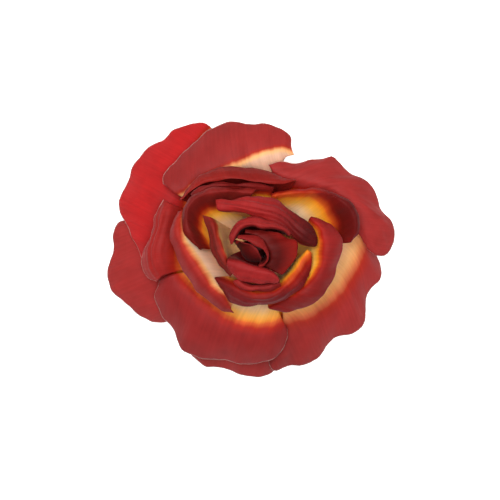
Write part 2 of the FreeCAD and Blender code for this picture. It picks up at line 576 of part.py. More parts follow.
# -------------------------------------------------------------------- petals
# A petal runs from its flat root up a wall to its crest, then rolls over to its
# rim.  Crest and rim are smooth curves through a few points (x, y, height over
# the ring's roots), drawn from the peg's axis for a rose 100 mm wide.
# belly: how far the wall swells; fold: how long the crest keeps its own direction;
# both are spread from a petal's first side to its last.  lean: the crest's tilt,
# 90 upright and more inward.
Petal = namedtuple("Petal", "label ring azimuth crest rim belly fold lean",
                   defaults=(None, (1.0,), (0.55,), 0))
ROOT_SPAN = [56, 58, 56, 50, 66, 100, 100]
DRAWN_WIDTH = 100
PETALS = [
    Petal("back_petal_bottom", ring=0, azimuth=268,
          crest=[(-20, -20, 0.5), (-13, -27, 1), (-3, -31, 0.5), (5, -30, -2),
                 (10, -25, -4)],
          rim=[(-25.5, -33, -7.5), (-22.5, -38.8, -8), (-19, -41.2, -8), (-14, -41.4, -8),
               (-8, -43.9, -8), (1.8, -44.8, -9), (7, -40.5, -12.2), (10, -34, -13)]),
    Petal("back_petal_right", ring=0, azimuth=335,
          crest=[(8, -26, 3.5), (16, -23, 5), (24, -16.5, 6), (29, -8.5, 6), (32, 0, 5),
                 (33, 5, 4)],
          rim=[(3.2, -38, -4), (5.2, -42.8, -4.8), (11, -41.3, -5.6), (17.5, -40.2, -5.5),
               (21.5, -37, -5), (23.8, -33.8, -4.5), (28.5, -30.8, -4), (33.5, -29.2, -4),
               (36.6, -26, -4), (36.9, -21, -3), (38.2, -15, -3), (41.8, -10.6, -4),
               (42.5, -6.5, -4), (40.5, -2.5, -3), (38, 1.5, -2)]),
    Petal("back_petal_left", ring=0, azimuth=200,
          crest=[(-27, 8, 1.5), (-31, 3, 2), (-33, -5, 2.5), (-31, -12, 2.5),
                 (-26, -19, 2)],
          rim=[(-44, 9.5, -5), (-48.5, 9, -6), (-50.2, 4, -6), (-50.4, -2, -6),
               (-52.9, -8.8, -7), (-51.5, -13.7, -7), (-46, -19.8, -7), (-40.5, -24.3, -7),
               (-35, -26.2, -7), (-29, -25, -7)]),
    Petal("back_petal_top_left", ring=0, azimuth=130,
          crest=[(-11, 27, 7), (-20, 25, 8), (-28, 19, 8.5), (-32, 10, 8.5), (-31, 1, 7.5)],
          rim=[(-15, 40, 3), (-18.5, 42.3, 2), (-23, 42.6, 1), (-29, 40.3, 0),
               (-33, 36.8, -1), (-38.5, 34.3, -2), (-42, 30, -2.5), (-45, 23, -2.5),
               (-48, 17, -2), (-48.2, 12.3, -1.5), (-45.5, 8, -0.5), (-42.8, 2, 1),
               (-40.4, -4.5, 2)]),
    Petal("outer_petal_top", ring=1, azimuth=100, belly=(1, 1.6, 2.4, 2.6, 2.5, 1.8, 1),
          crest=[(9.5, 30.5, 9), (4, 31.2, 10.5), (-4, 29.4, 12), (-12, 27.1, 13),
                 (-19, 24.4, 13), (-24.5, 20.8, 12.5), (-29, 18.6, 12)],
          rim=[(12.3, 31.5, 7.5), (11, 34, 7.5), (10.6, 37.5, 7), (8, 40.3, 6.5),
               (3, 42, 6), (-5, 41.9, 6), (-10.5, 43, 6), (-13.5, 42, 5.5),
               (-17, 39.8, 5.5), (-21.5, 36, 6), (-26, 32, 7), (-29.8, 28.2, 8),
               (-32.2, 24.5, 9), (-32.4, 21.3, 10)]),
    Petal("outer_petal_right", ring=1, azimuth=30, belly=(1.25,),
          crest=[(33.5, 4.5, 9), (33.3, 10, 11), (30, 15.8, 12.5), (25, 19.8, 13.5),
                 (18, 22.3, 14), (11, 23.8, 14), (4, 26.3, 13)],
          rim=[(35, 2.5, 7), (38.5, -1.9, 4), (42.8, -3, 2.5), (46, 0, 2), (46.6, 4, 2),
               (45, 8.8, 3), (41.5, 13.5, 4.5), (39.3, 20.3, 5), (36, 22.6, 6),
               (31, 25.3, 7), (27.5, 29, 7), (25, 30.9, 7), (21, 30, 8), (14, 28.7, 10),
               (7, 28.9, 12), (3.2, 28, 12.5)]),
    Petal("outer_petal_bottom", ring=1, azimuth=245,
          crest=[(-30, -9.5, 7), (-25.5, -14.5, 8), (-19, -19.5, 8.5), (-12.5, -24, 8.5),
                 (-5, -27, 8), (2, -27.5, 7.5), (8.3, -25.3, 6.5)],
          rim=[(-34.3, -11.5, 4), (-35.7, -17, 1), (-34, -22, -1), (-29.5, -29, -2.5),
               (-26, -35.5, -3), (-20, -38.3, -3), (-10, -39.3, -2.5), (0, -40.2, -2),
               (6, -37.8, -0.5), (9.4, -32, 2), (9.6, -28, 4)]),
    Petal("outer_petal_left", ring=1, azimuth=175,
          crest=[(-30.5, 15, 12), (-33, 9, 14), (-34.5, 2, 14.5), (-34.7, -4, 13.5),
                 (-33.3, -10.3, 11)],
          rim=[(-32.4, 16, 11), (-34.3, 12.5, 10), (-36.4, 6.5, 9), (-38.5, 0, 8),
               (-39.9, -6, 7), (-38, -10.5, 6.7), (-35, -12, 8)]),
    Petal("middle_petal_top", ring=2, azimuth=100, belly=(0.7, 0.7, 0.75, 0.75, 0.65, 0.55, 0.5, 0.6, 0.8), fold=(0.3, 1, 1.8, 2.1, 2, 1.8, 1.5, 1, 0.4), lean=150,
          crest=[(12.6, 22.2, 15.5), (8, 21.2, 18.3), (3, 21.4, 19.5), (-2, 21.9, 20),
                 (-7, 22.4, 20), (-12, 22.7, 19.6), (-18, 21.7, 18.6), (-23.3, 18.2, 17),
                 (-26, 15.5, 15)]),
    Petal("middle_petal_right", ring=2, azimuth=30,
          crest=[(30.8, 1.3, 13), (32.3, 5, 15.5), (32.2, 9.5, 16.8), (29.8, 13.6, 17.6),
                 (26, 16.6, 18.3), (21, 18, 18.8), (14, 18.3, 18.9), (8, 17.7, 18.5),
                 (4, 17, 18)],
          rim=[(31.5, 1.3, 12.2), (33.6, 4.5, 14.2), (33.7, 9.8, 15.2), (31.2, 14.6, 16.2),
               (27, 17.8, 17), (21.5, 19.3, 17.3), (14, 19.4, 17.3), (8, 18.8, 17),
               (4, 18.2, 16.5)]),
    Petal("middle_petal_lower_right", ring=2, azimuth=310,
          crest=[(3.2, -20.8, 15), (8, -19, 17.5), (14, -15.8, 20), (19, -11, 21.5),
                 (21.8, -5, 22.5), (22.3, 1, 22.5), (20.8, 6.3, 22), (17, 9.8, 20.5)],
          rim=[(4.5, -21.4, 14.5), (11, -22, 15), (20, -17.6, 16.5), (25, -10.5, 17.5),
               (27.5, -3, 18), (27.8, 2, 18), (26, 6, 18.5), (21.5, 9, 19.5),
               (17.5, 10.3, 20)]),
    Petal("middle_petal_lower_left", ring=2, azimuth=220,
          crest=[(-26, 12.3, 18), (-27.3, 7, 20), (-26.5, 2.5, 21), (-24.3, -1.5, 21.5),
                 (-20.7, -7.5, 21.5), (-17, -12.7, 21), (-12.5, -17.3, 19),
                 (-9.3, -21, 16.5)],
          rim=[(-27.6, 12, 16.5), (-29.5, 6, 16.5), (-29.2, 0, 16.5), (-26.3, -6.8, 16.5),
               (-22.5, -12.3, 16.5), (-19.5, -16.5, 16), (-14, -20.5, 15.5),
               (-8.6, -22.4, 15)]),
    Petal("inner_petal_top", ring=3, azimuth=105,
          crest=[(5, 19.9, 14.3), (0, 20.2, 15.6), (-6, 20.5, 16.8), (-12, 20.6, 17.7),
                 (-18, 19.5, 18), (-22.5, 17, 17)],
          rim=[(5, 20.7, 13.3), (0, 21.1, 14.6), (-6, 21.7, 15.7), (-12, 21.9, 16.3),
               (-18, 20.9, 16.3), (-23.2, 18, 15.5)]),
    Petal("inner_petal_left", ring=3, azimuth=165,
          crest=[(-2, 18, 19), (-10, 18.6, 20), (-17, 18, 20.5), (-21.5, 16, 20.5),
                 (-24, 12.5, 20.2), (-24.2, 8, 19.5), (-22.5, 3, 18), (-19.8, -0.8, 15.8)],
          rim=[(-1, 19.5, 17.5), (-9, 19.9, 18.5), (-17, 19.4, 19), (-22.6, 17.2, 18.8),
               (-25.4, 13, 18.3), (-25.6, 7.5, 18), (-23.2, 2, 16.9), (-19.6, -1.4, 15)]),
    Petal("inner_petal_bottom", ring=3, azimuth=285,
          crest=[(-15, -10.5, 18), (-12.3, -11.9, 20), (-9, -13.6, 21), (-5, -15.4, 21.5),
                 (0, -16.5, 22), (5, -15.5, 22), (9.5, -12.2, 21.5), (12.5, -8.3, 21),
                 (14.6, -4, 20.3), (16.3, -1.2, 19)],
          rim=[(-14.2, -11.8, 16.8), (-12.4, -14.8, 16.8), (-10, -18.3, 17),
               (-4, -19.7, 18), (3, -19.6, 18), (9, -17.2, 18.5), (14.2, -13.4, 18.8),
               (17.2, -9, 18.8), (17.8, -5, 18.6), (17, -1.7, 18.5)]),
    Petal("heart_petal_right", ring=4, azimuth=50,
          crest=[(19.2, 0.3, 19), (16, 1.8, 20.5), (12, 4.5, 22), (7.5, 8, 23),
                 (3, 10.4, 23.5), (-2, 12, 23.3), (-8, 12.9, 22.5), (-14, 12.9, 20.5)],
          rim=[(19.7, 2, 18), (18.8, 5, 18), (15.5, 8.8, 18.5), (10, 13, 19),
               (4, 16.2, 19), (-3, 17, 19.5), (-9, 16.1, 19.5), (-14.5, 15.4, 19)]),
    Petal("heart_petal_left", ring=4, azimuth=180,
          crest=[(-16.2, 9.8, 20), (-15, 6, 21.5), (-13.8, 2, 22), (-12.4, -2, 22),
                 (-10.8, -5.5, 21.5), (-8.5, -8.5, 20.5)],
          rim=[(-18.6, 10.6, 19), (-17.3, 6, 19), (-17, 1, 19), (-15, -3.2, 19),
               (-12.3, -7, 19), (-9.5, -9.8, 18.5)]),
    Petal("heart_petal_bottom", ring=4, azimuth=275,
          crest=[(-7.5, -10.8, 20), (-5.5, -12.6, 20.7), (-2.5, -13.4, 21),
                 (1, -13.1, 21.3), (4.5, -12.7, 21.3), (7, -12, 20.5)],
          rim=[(-8.8, -11.2, 19), (-7, -13.4, 19.3), (-3.5, -14.8, 19.6), (1, -15.2, 20),
               (5, -14.6, 20), (7.4, -13.5, 19.3)]),
    Petal("bud_petal_bottom", ring=5, azimuth=240, belly=(0.8,),
          crest=[(-10.6, -4.8, 21), (-7.5, -5.6, 22), (-4, -6.6, 22.5), (0, -7.9, 22.8),
                 (3.3, -8.7, 22.5), (5.6, -10, 21.8), (6.7, -11.2, 20.7)],
          rim=[(-10.4, -6.8, 19.5), (-8.5, -9.3, 19.5), (-6, -11.4, 19.5),
               (-2.5, -12.4, 19.7), (1, -12.1, 19.8), (4, -11.9, 19.8), (6.2, -12, 19.8)]),
    Petal("bud_petal_top", ring=5, azimuth=95, belly=(0.75,),
          crest=[(10.2, 3.7, 20.8), (8.8, 5.1, 22.3), (6, 6.4, 23.5), (1, 7, 24),
                 (-3, 7.4, 24), (-6, 6.5, 23.5), (-8, 4, 23), (-8.9, 0.9, 22)],
          rim=[(10.8, 4.5, 20), (9.3, 6.5, 20.7), (7, 8, 21), (2, 9.3, 21.2),
               (-3, 9.8, 21), (-6.8, 9, 21), (-9.3, 6, 21), (-9.9, 3, 21),
               (-9.4, 0.7, 21.5)]),
    Petal("bud_petal_right", ring=5, azimuth=346, belly=(0.5,),
          crest=[(2.4, -6.6, 20.6), (3.6, -5.9, 21.4), (4.3, -4.6, 22), (4.5, -2.9, 22.5),
                 (4, -0.8, 22.8), (2.7, 1.5, 22.8), (0.6, 3.3, 22.6), (-2, 4.3, 22.2),
                 (-4.6, 4.7, 21.4)],
          rim=[(7.4, -9.3, 18.8), (8.9, -8.3, 18.2), (10.6, -6.6, 17.4),
               (12.2, -3.6, 17.2), (12.6, -0.6, 17.4), (12.2, 2.2, 18.2), (9.6, 3.2, 19),
               (6, 4.9, 20.3), (2, 5.5, 20.8), (-1.6, 5.7, 20.8), (-4.6, 5.6, 20.5)]),
    Petal("bud_petal_inner", ring=6, azimuth=80, belly=(0.3,),
          crest=[(-0.2, -6.4, 20), (1.8, -5.4, 21), (2.6, -4, 21.8), (2.4, -2.4, 22.3),
                 (1.1, -0.6, 22.8), (-0.8, 0.8, 23), (-3, 1.9, 23), (-5.5, 2.7, 22.5),
                 (-7.2, 2.9, 21.8)],
          rim=[(0.1, -6.9, 19.6), (2.1, -6, 20.3), (3.2, -4.5, 20.9), (3.6, -2.8, 21.2),
               (3.1, -0.6, 21.4), (1.4, 1.7, 21.5), (-1, 3.3, 21.5), (-4, 4.1, 21.3),
               (-7, 3.9, 21)]),
    Petal("bud_petal_left", ring=6, azimuth=205, belly=(0, 0.3, 0.5, 0.5, 0.4, 0.2, 0.1), fold=(0.25, 0.8, 1.3, 1.4, 1.2, 0.8, 0.4), lean=140,
          crest=[(-7.5, 0.9, 19.2), (-6.4, 1.7, 20.7), (-4.4, 1.4, 21.6),
                 (-2.2, 0.6, 21.9), (-0.5, -0.7, 21.9), (0.4, -2.2, 21.5),
                 (0.5, -3.8, 20.6)]),
]


def smooth_curve(points, count):
    """Points evenly spread along a smooth curve through the given points."""
    scale = d.flower_width.value / DRAWN_WIDTH
    points = [FreeCAD.Vector(*point) * scale for point in points]
    last = len(points) - 1
    knots = [0.0]
    for i in range(last):
        knots.append(knots[-1] + (points[i + 1] - points[i]).Length)
    slopes = []
    for i in range(last + 1):
        before, after = max(i - 1, 0), min(i + 1, last)
        if before == i or after == i:
            chord = points[after] - points[before]
            slopes.append(chord / (knots[after] - knots[before]))
            continue
        step_in, step_out = knots[i] - knots[before], knots[after] - knots[i]
        slope_in = (points[i] - points[before]) / step_in
        slope_out = (points[after] - points[i]) / step_out
        slopes.append((slope_in * step_out + slope_out * step_in) / (step_in + step_out))
    curve = []
    for k in range(count):
        at = knots[-1] * k / (count - 1)
        i = 0
        while i < last - 1 and at > knots[i + 1]:
            i += 1
        step = knots[i + 1] - knots[i]
        curve.append(hermite(points[i], slopes[i] * step, points[i + 1],
                             slopes[i + 1] * step, (at - knots[i]) / step))
    return curve


def hermite(start, start_pull, end, end_pull, at):
    """Point on the cubic that leaves start and reaches end along the pulls."""
    square, cube = at * at, at * at * at
    return (start * (2 * cube - 3 * square + 1) + start_pull * (cube - 2 * square + at)
            + end * (3 * square - 2 * cube) + end_pull * (cube - square))


def unit(vector):
    return vector / max(vector.Length, 1e-9)


def level(vector):
    return FreeCAD.Vector(vector.x, vector.y, 0)


def spread(values, share):
    """The value at a share of a petal's width, from a few along that width."""
    place = share * (len(values) - 1)
    i = min(int(place), len(values) - 2)
    if i < 0:
        return values[0]
    return values[i] + (values[i + 1] - values[i]) * (place - i)


# How strongly a petal follows the directions at its root, crest and rim.
OUTWARD_SHARE = 0.3
ROOT_PULL = 0.9
ROLL_LIMIT = 2.2
RIM_PULL = 0.9
RIM_DROOP = 0.5


def petal_strip(petal, share, crest, rim):
    """Points of one strip of a petal, from the root's hole to its rim."""
    azimuth = math.radians(petal.azimuth + (share - 0.5) * ROOT_SPAN[petal.ring])
    outward = FreeCAD.Vector(math.cos(azimuth), math.sin(azimuth), 0)
    hole = outward * d.root_hole.value
    root = outward * root_radius(petal.ring).value
    wall = (crest - root).Length
    over = unit(level(crest))
    if rim is not None:
        roll = (rim - crest).Length
        over = unit(unit(level(rim - crest)) * (1 - OUTWARD_SHARE) + over * OUTWARD_SHARE)
    lean = math.radians(petal.lean)
    crest_way = over * math.cos(lean) + FreeCAD.Vector(0, 0, math.sin(lean))
    root_way = unit(outward * OUTWARD_SHARE + unit(level(crest)) * (1 - OUTWARD_SHARE))
    crest_pull = spread(petal.fold, share) * wall
    root_pull = spread(petal.belly, share) * ROOT_PULL * wall
    if rim is not None:
        crest_pull = min(crest_pull, ROLL_LIMIT * roll)
    strip = [hole, root]
    for k in range(1, ROW_COUNT_WALL + 1):
        strip.append(hermite(root, root_way * root_pull, crest, crest_way * crest_pull,
                             k / ROW_COUNT_WALL))
    if rim is not None:
        droop = unit(unit(rim - crest) + FreeCAD.Vector(0, 0, -RIM_DROOP))
        for k in range(1, ROW_COUNT_ROLL + 1):
            strip.append(hermite(crest, crest_way * roll, rim, droop * (RIM_PULL * roll),
                                 k / ROW_COUNT_ROLL))
    return strip


MESH_TOLERANCE = 0.001


def petal_solid(petal):
    """A closed solid of even thickness under the petal's surface."""
    across = ROW_COUNT_ACROSS + 1
    crest = smooth_curve(petal.crest, across)
    rim = smooth_curve(petal.rim, across) if petal.rim else [None] * across
    upper = [petal_strip(petal, k / ROW_COUNT_ACROSS, crest[k], rim[k])
             for k in range(across)]
    along = len(upper[0])

    def at(k, n):
        return upper[min(max(k, 0), across - 1)][min(max(n, 0), along - 1)]

    points = []
    for layer in (0, 1):
        for k in range(across):
            for n in range(along):
                normal = unit((at(k + 1, n) - at(k - 1, n)).cross(at(k, n + 1) - at(k, n - 1)))
                points.append(at(k, n) + normal * (layer * d.petal_thickness.value))

    def corner(layer, k, n):
        return (layer * across + k) * along + n

    facets = []

    def quad(a, b, c, e):
        facets.append((a, b, c))
        facets.append((a, c, e))

    for k in range(across - 1):
        for n in range(along - 1):
            quad(corner(0, k, n), corner(0, k, n + 1), corner(0, k + 1, n + 1),
                 corner(0, k + 1, n))
            quad(corner(1, k, n), corner(1, k + 1, n), corner(1, k + 1, n + 1),
                 corner(1, k, n + 1))
    end, rim_row = across - 1, along - 1
    for k in range(across - 1):
        quad(corner(0, k, 0), corner(0, k + 1, 0), corner(1, k + 1, 0), corner(1, k, 0))
        quad(corner(0, k, rim_row), corner(1, k, rim_row), corner(1, k + 1, rim_row),
             corner(0, k + 1, rim_row))
    for n in range(along - 1):
        quad(corner(0, 0, n), corner(1, 0, n), corner(1, 0, n + 1), corner(0, 0, n + 1))
        quad(corner(0, end, n), corner(0, end, n + 1), corner(1, end, n + 1),
             corner(1, end, n))
    shell = Part.Shape()
    shell.makeShapeFromMesh((points, facets), MESH_TOLERANCE)
    solid = Part.makeSolid(shell)
    if solid.Volume < 0:
        solid.reverse()
    return solid.removeSplitter()


def add_petal(petal):
    feature = doc.addObject("Part::Feature", "Petal_" + petal.label)
    feature.Label = petal.label
    feature.Shape = petal_solid(petal)
    place(feature, d.stack_x, d.stack_y, ring_z(petal.ring))
    return feature


# ------------------------------------------------------------------ assembly
pieces = [clip_upper_arm(), clip_lower_arm(), hinge_pin(), torsion_spring()]
pieces += [felt_backing(), glue_pad(), base_cup(), stem_peg()]
pieces += [spacer_collar(ring) for ring in range(RING_COUNT - 1)]
pieces += [bud_core()]
pieces += [add_petal(petal) for petal in PETALS]
doc.recompute()

for item in doc.Objects:
    if "Invalid" in item.State or "Error" in item.State:
        raise RuntimeError("%s failed: %s" % (item.Label, item.State))
for piece in pieces:
    if piece.Shape.isNull() or not piece.Shape.isValid():
        raise RuntimeError(piece.Label + " has no valid shape")
    if len(piece.Shape.Solids) != 1:
        raise RuntimeError("%s has %d solids" % (piece.Label, len(piece.Shape.Solids)))
for piece in pieces:
    piece.Shape.exportStep("parts/%s.step" % piece.Label)
print("wrote %d parts" % len(pieces))
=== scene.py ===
# %% [markdown]
# # A satin rose on an alligator hair clip
# A silk rose is cut petals threaded on a stem in rings. Its cloth is satin, dyed brick red
# at the rim and left cream at the root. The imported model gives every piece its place, so
# each shape below starts from a size read from it or from the petals' own curves.

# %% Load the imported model
import math

import bmesh
import bpy
import numpy as np
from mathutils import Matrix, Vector


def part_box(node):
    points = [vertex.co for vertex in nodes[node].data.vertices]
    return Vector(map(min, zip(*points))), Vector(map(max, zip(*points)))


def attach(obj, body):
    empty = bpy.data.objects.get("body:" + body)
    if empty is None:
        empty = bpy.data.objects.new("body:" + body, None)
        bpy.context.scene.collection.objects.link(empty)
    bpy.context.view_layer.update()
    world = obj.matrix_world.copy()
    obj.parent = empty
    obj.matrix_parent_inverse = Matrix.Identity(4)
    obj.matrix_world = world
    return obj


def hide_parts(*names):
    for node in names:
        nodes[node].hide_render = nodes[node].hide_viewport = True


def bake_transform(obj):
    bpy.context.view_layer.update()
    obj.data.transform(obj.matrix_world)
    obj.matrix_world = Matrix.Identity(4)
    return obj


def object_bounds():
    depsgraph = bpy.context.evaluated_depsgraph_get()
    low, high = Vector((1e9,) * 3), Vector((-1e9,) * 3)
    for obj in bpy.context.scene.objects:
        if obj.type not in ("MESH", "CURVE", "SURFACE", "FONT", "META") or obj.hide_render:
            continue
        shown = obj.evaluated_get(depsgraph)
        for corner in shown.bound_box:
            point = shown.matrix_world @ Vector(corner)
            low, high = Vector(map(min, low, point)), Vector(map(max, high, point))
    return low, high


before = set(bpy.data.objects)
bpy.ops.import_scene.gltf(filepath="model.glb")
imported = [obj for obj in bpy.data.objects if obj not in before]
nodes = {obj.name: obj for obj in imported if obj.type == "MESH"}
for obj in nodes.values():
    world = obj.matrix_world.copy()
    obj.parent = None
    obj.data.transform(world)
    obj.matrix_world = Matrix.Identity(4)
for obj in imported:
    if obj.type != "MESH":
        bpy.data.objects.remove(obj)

MM = 0.001
cad_low, cad_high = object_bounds()
print("model box", tuple(cad_low), tuple(cad_high))

# %% [markdown]
# Two helpers serve every finish. Colours are written as sRGB hex, the way a paint chart
# gives them, and turned to the linear values that a renderer mixes. The other helper adds
# one shader node with its settings and links, so that each finish reads as a short list.

# %% Colour and node helpers
def linear(hex_colour):
    """An sRGB hex colour as linear red, green, blue and a full alpha."""
    parts = [int(hex_colour[i:i + 2], 16) / 255 for i in (1, 3, 5)]
    return tuple(c / 12.92 if c <= 0.04045 else ((c + 0.055) / 1.055) ** 2.4
                 for c in parts) + (1.0,)


def add(tree, kind, links=None, **settings):
    """Add a node. settings are its properties; links gives each input a value or a socket."""
    node = tree.nodes.new(kind)
    for name, value in settings.items():
        setattr(node, name, value)
    for name, value in (links or {}).items():
        socket = node.inputs[name]
        if isinstance(value, bpy.types.NodeSocket):
            tree.links.new(value, socket)
        else:
            socket.default_value = value
    return node


def new_material(name):
    material = bpy.data.materials.new(name)
    material.use_nodes = True
    material.node_tree.nodes.clear()
    return material, material.node_tree


def ramp_colours(node, stops):
    """Give a colour ramp its stops, from (position, hex) pairs."""
    ramp = node.color_ramp
    while len(ramp.elements) > 1:
        ramp.elements.remove(ramp.elements[-1])
    for i, (position, colour) in enumerate(stops):
        element = ramp.elements[0] if i == 0 else ramp.elements.new(position)
        element.position = position
        element.color = linear(colour)


# %% [markdown]
# ## The light and the camera
# The rose is seen from straight above, so its light comes mostly from above too: a wide
# key lamp to the upper left of the lens and a fill beside it reach down between the
# petals, and a pale sky softens them. A long lens keeps the high bud from looking
# swollen. The floor glows only for rays that come from the camera, a mirror or a clear
# body, so it reads white and throws no light, and it is clear from below, so that the
# clip can be seen.

# %% Camera, light and floor
LENS_MM = 200
SENSOR_MM = 36
VIEW_WIDTH = 170.6 * MM
VIEW_CENTRE = (0.3 * MM, 0.1 * MM)
MID_HEIGHT = 22 * MM
SKY_AT_SIDES, SKY_OVERHEAD = 0.08, 0.80
camera_data = bpy.data.cameras.new("camera")
camera_data.lens = LENS_MM
camera_data.sensor_width = SENSOR_MM
camera = bpy.data.objects.new("camera", camera_data)
distance = VIEW_WIDTH * LENS_MM / SENSOR_MM
camera.location = (*VIEW_CENTRE, MID_HEIGHT + distance)
bpy.context.scene.collection.objects.link(camera)
bpy.context.scene.camera = camera
bpy.context.scene.view_settings.view_transform = "Standard"

world = bpy.data.worlds.new("studio")
world.use_nodes = True
sky = world.node_tree.nodes["Background"]
sky.inputs["Color"].default_value = linear("#FFFFFF")
direction = add(world.node_tree, "ShaderNodeTexCoord")
height = add(world.node_tree, "ShaderNodeSeparateXYZ", {0: direction.outputs["Generated"]})
overhead = add(world.node_tree, "ShaderNodeMapRange", {
    "Value": height.outputs["Z"], "From Min": 0.3, "From Max": 1.0,
    "To Min": SKY_AT_SIDES, "To Max": SKY_OVERHEAD})
world.node_tree.links.new(overhead.outputs["Result"], sky.inputs["Strength"])
bpy.context.scene.world = world


def soft_lamp(name, place, size, watts):
    """A square area lamp aimed at the rose."""
    data = bpy.data.lights.new(name, "AREA")
    data.size = size
    data.energy = watts
    lamp = bpy.data.objects.new(name, data)
    lamp.location = place
    aim = Vector((0, 0, MID_HEIGHT)) - Vector(place)
    lamp.rotation_mode = "QUATERNION"
    lamp.rotation_quaternion = aim.to_track_quat("-Z", "Y")
    bpy.context.scene.collection.objects.link(lamp)


soft_lamp("key", (-0.13, 0.16, 0.72), 0.30, 3.4)
soft_lamp("fill", (0.10, -0.07, 0.78), 0.25, 2.3)

FLOOR_SIZE = 3.0
FLOOR_GLOW = 0.75
FLOOR_GAP = 0.2 * MM
floor_mesh = bpy.data.meshes.new("floor")
half = FLOOR_SIZE / 2
floor_z = cad_low.z - FLOOR_GAP
floor_mesh.from_pydata([(-half, -half, floor_z), (half, -half, floor_z),
                        (half, half, floor_z), (-half, half, floor_z)], [], [(0, 1, 2, 3)])
floor = bpy.data.objects.new("floor", floor_mesh)
bpy.context.scene.collection.objects.link(floor)
paper, tree = new_material("white paper sweep")
grain = add(tree, "ShaderNodeTexNoise", {"Scale": 400.0, "Detail": 2.0})
tint = add(tree, "ShaderNodeMix", {"Factor": grain.outputs["Fac"], "A": linear("#FFFFFF"),
                                   "B": linear("#FBFBFB")}, data_type="RGBA")
rays = add(tree, "ShaderNodeLightPath").outputs
seen = add(tree, "ShaderNodeMath", {0: rays["Is Camera Ray"], 1: rays["Is Glossy Ray"]},
           operation="MAXIMUM")
seen = add(tree, "ShaderNodeMath", {
    0: seen.outputs["Value"], 1: rays["Is Transmission Ray"]}, operation="MAXIMUM")
glow = add(tree, "ShaderNodeMath", {0: seen.outputs["Value"], 1: FLOOR_GLOW},
           operation="MULTIPLY")
surface = add(tree, "ShaderNodeBsdfPrincipled", {
    "Base Color": tint.outputs["Result"], "Roughness": 0.9,
    "Emission Color": linear("#FFFFFF"), "Emission Strength": glow.outputs["Value"]})
below = add(tree, "ShaderNodeNewGeometry").outputs["Backfacing"]
clear = add(tree, "ShaderNodeBsdfTransparent")
one_sided = add(tree, "ShaderNodeMixShader", {
    0: below, 1: surface.outputs["BSDF"], 2: clear.outputs["BSDF"]})
add(tree, "ShaderNodeOutputMaterial", {"Surface": one_sided.outputs["Shader"]})
floor_mesh.materials.append(paper)

# %% [markdown]
# ## The petals
# A petal runs from a flat root, held between two collars, up a wall to its crest, and
# then rolls over to its rim. Two smooth curves, crest and rim, fix its look from above,
# so each petal below is those two curves as a few points: x and y from the stem in
# millimetres, and the height over its ring's roots. A cubic joins root, crest and rim,
# as bent cloth would.

# %% The rings
RINGS = 7
ROOT_SPAN = [56, 58, 56, 50, 66, 100, 100]      # degrees that a petal's root covers
stem_low, stem_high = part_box("stem_peg")
STEM_X = (stem_low.x + stem_high.x) / 2
STEM_Y = (stem_low.y + stem_high.y) / 2
RING_Z = [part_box("spacer_collar_%d" % (k + 1))[0].z for k in range(RINGS - 1)]
RING_Z.append(RING_Z[-1] + (RING_Z[-1] - RING_Z[-2]))
ROOT_HOLE = 1.5 * MM
LOWEST_ROOT_MM, ROOT_STEP_MM = 9.0, 0.8
ROOT_RADIUS = [(LOWEST_ROOT_MM - ROOT_STEP_MM * k) * MM for k in range(RINGS)]
print("ring heights", [round(z / MM, 2) for z in RING_Z])

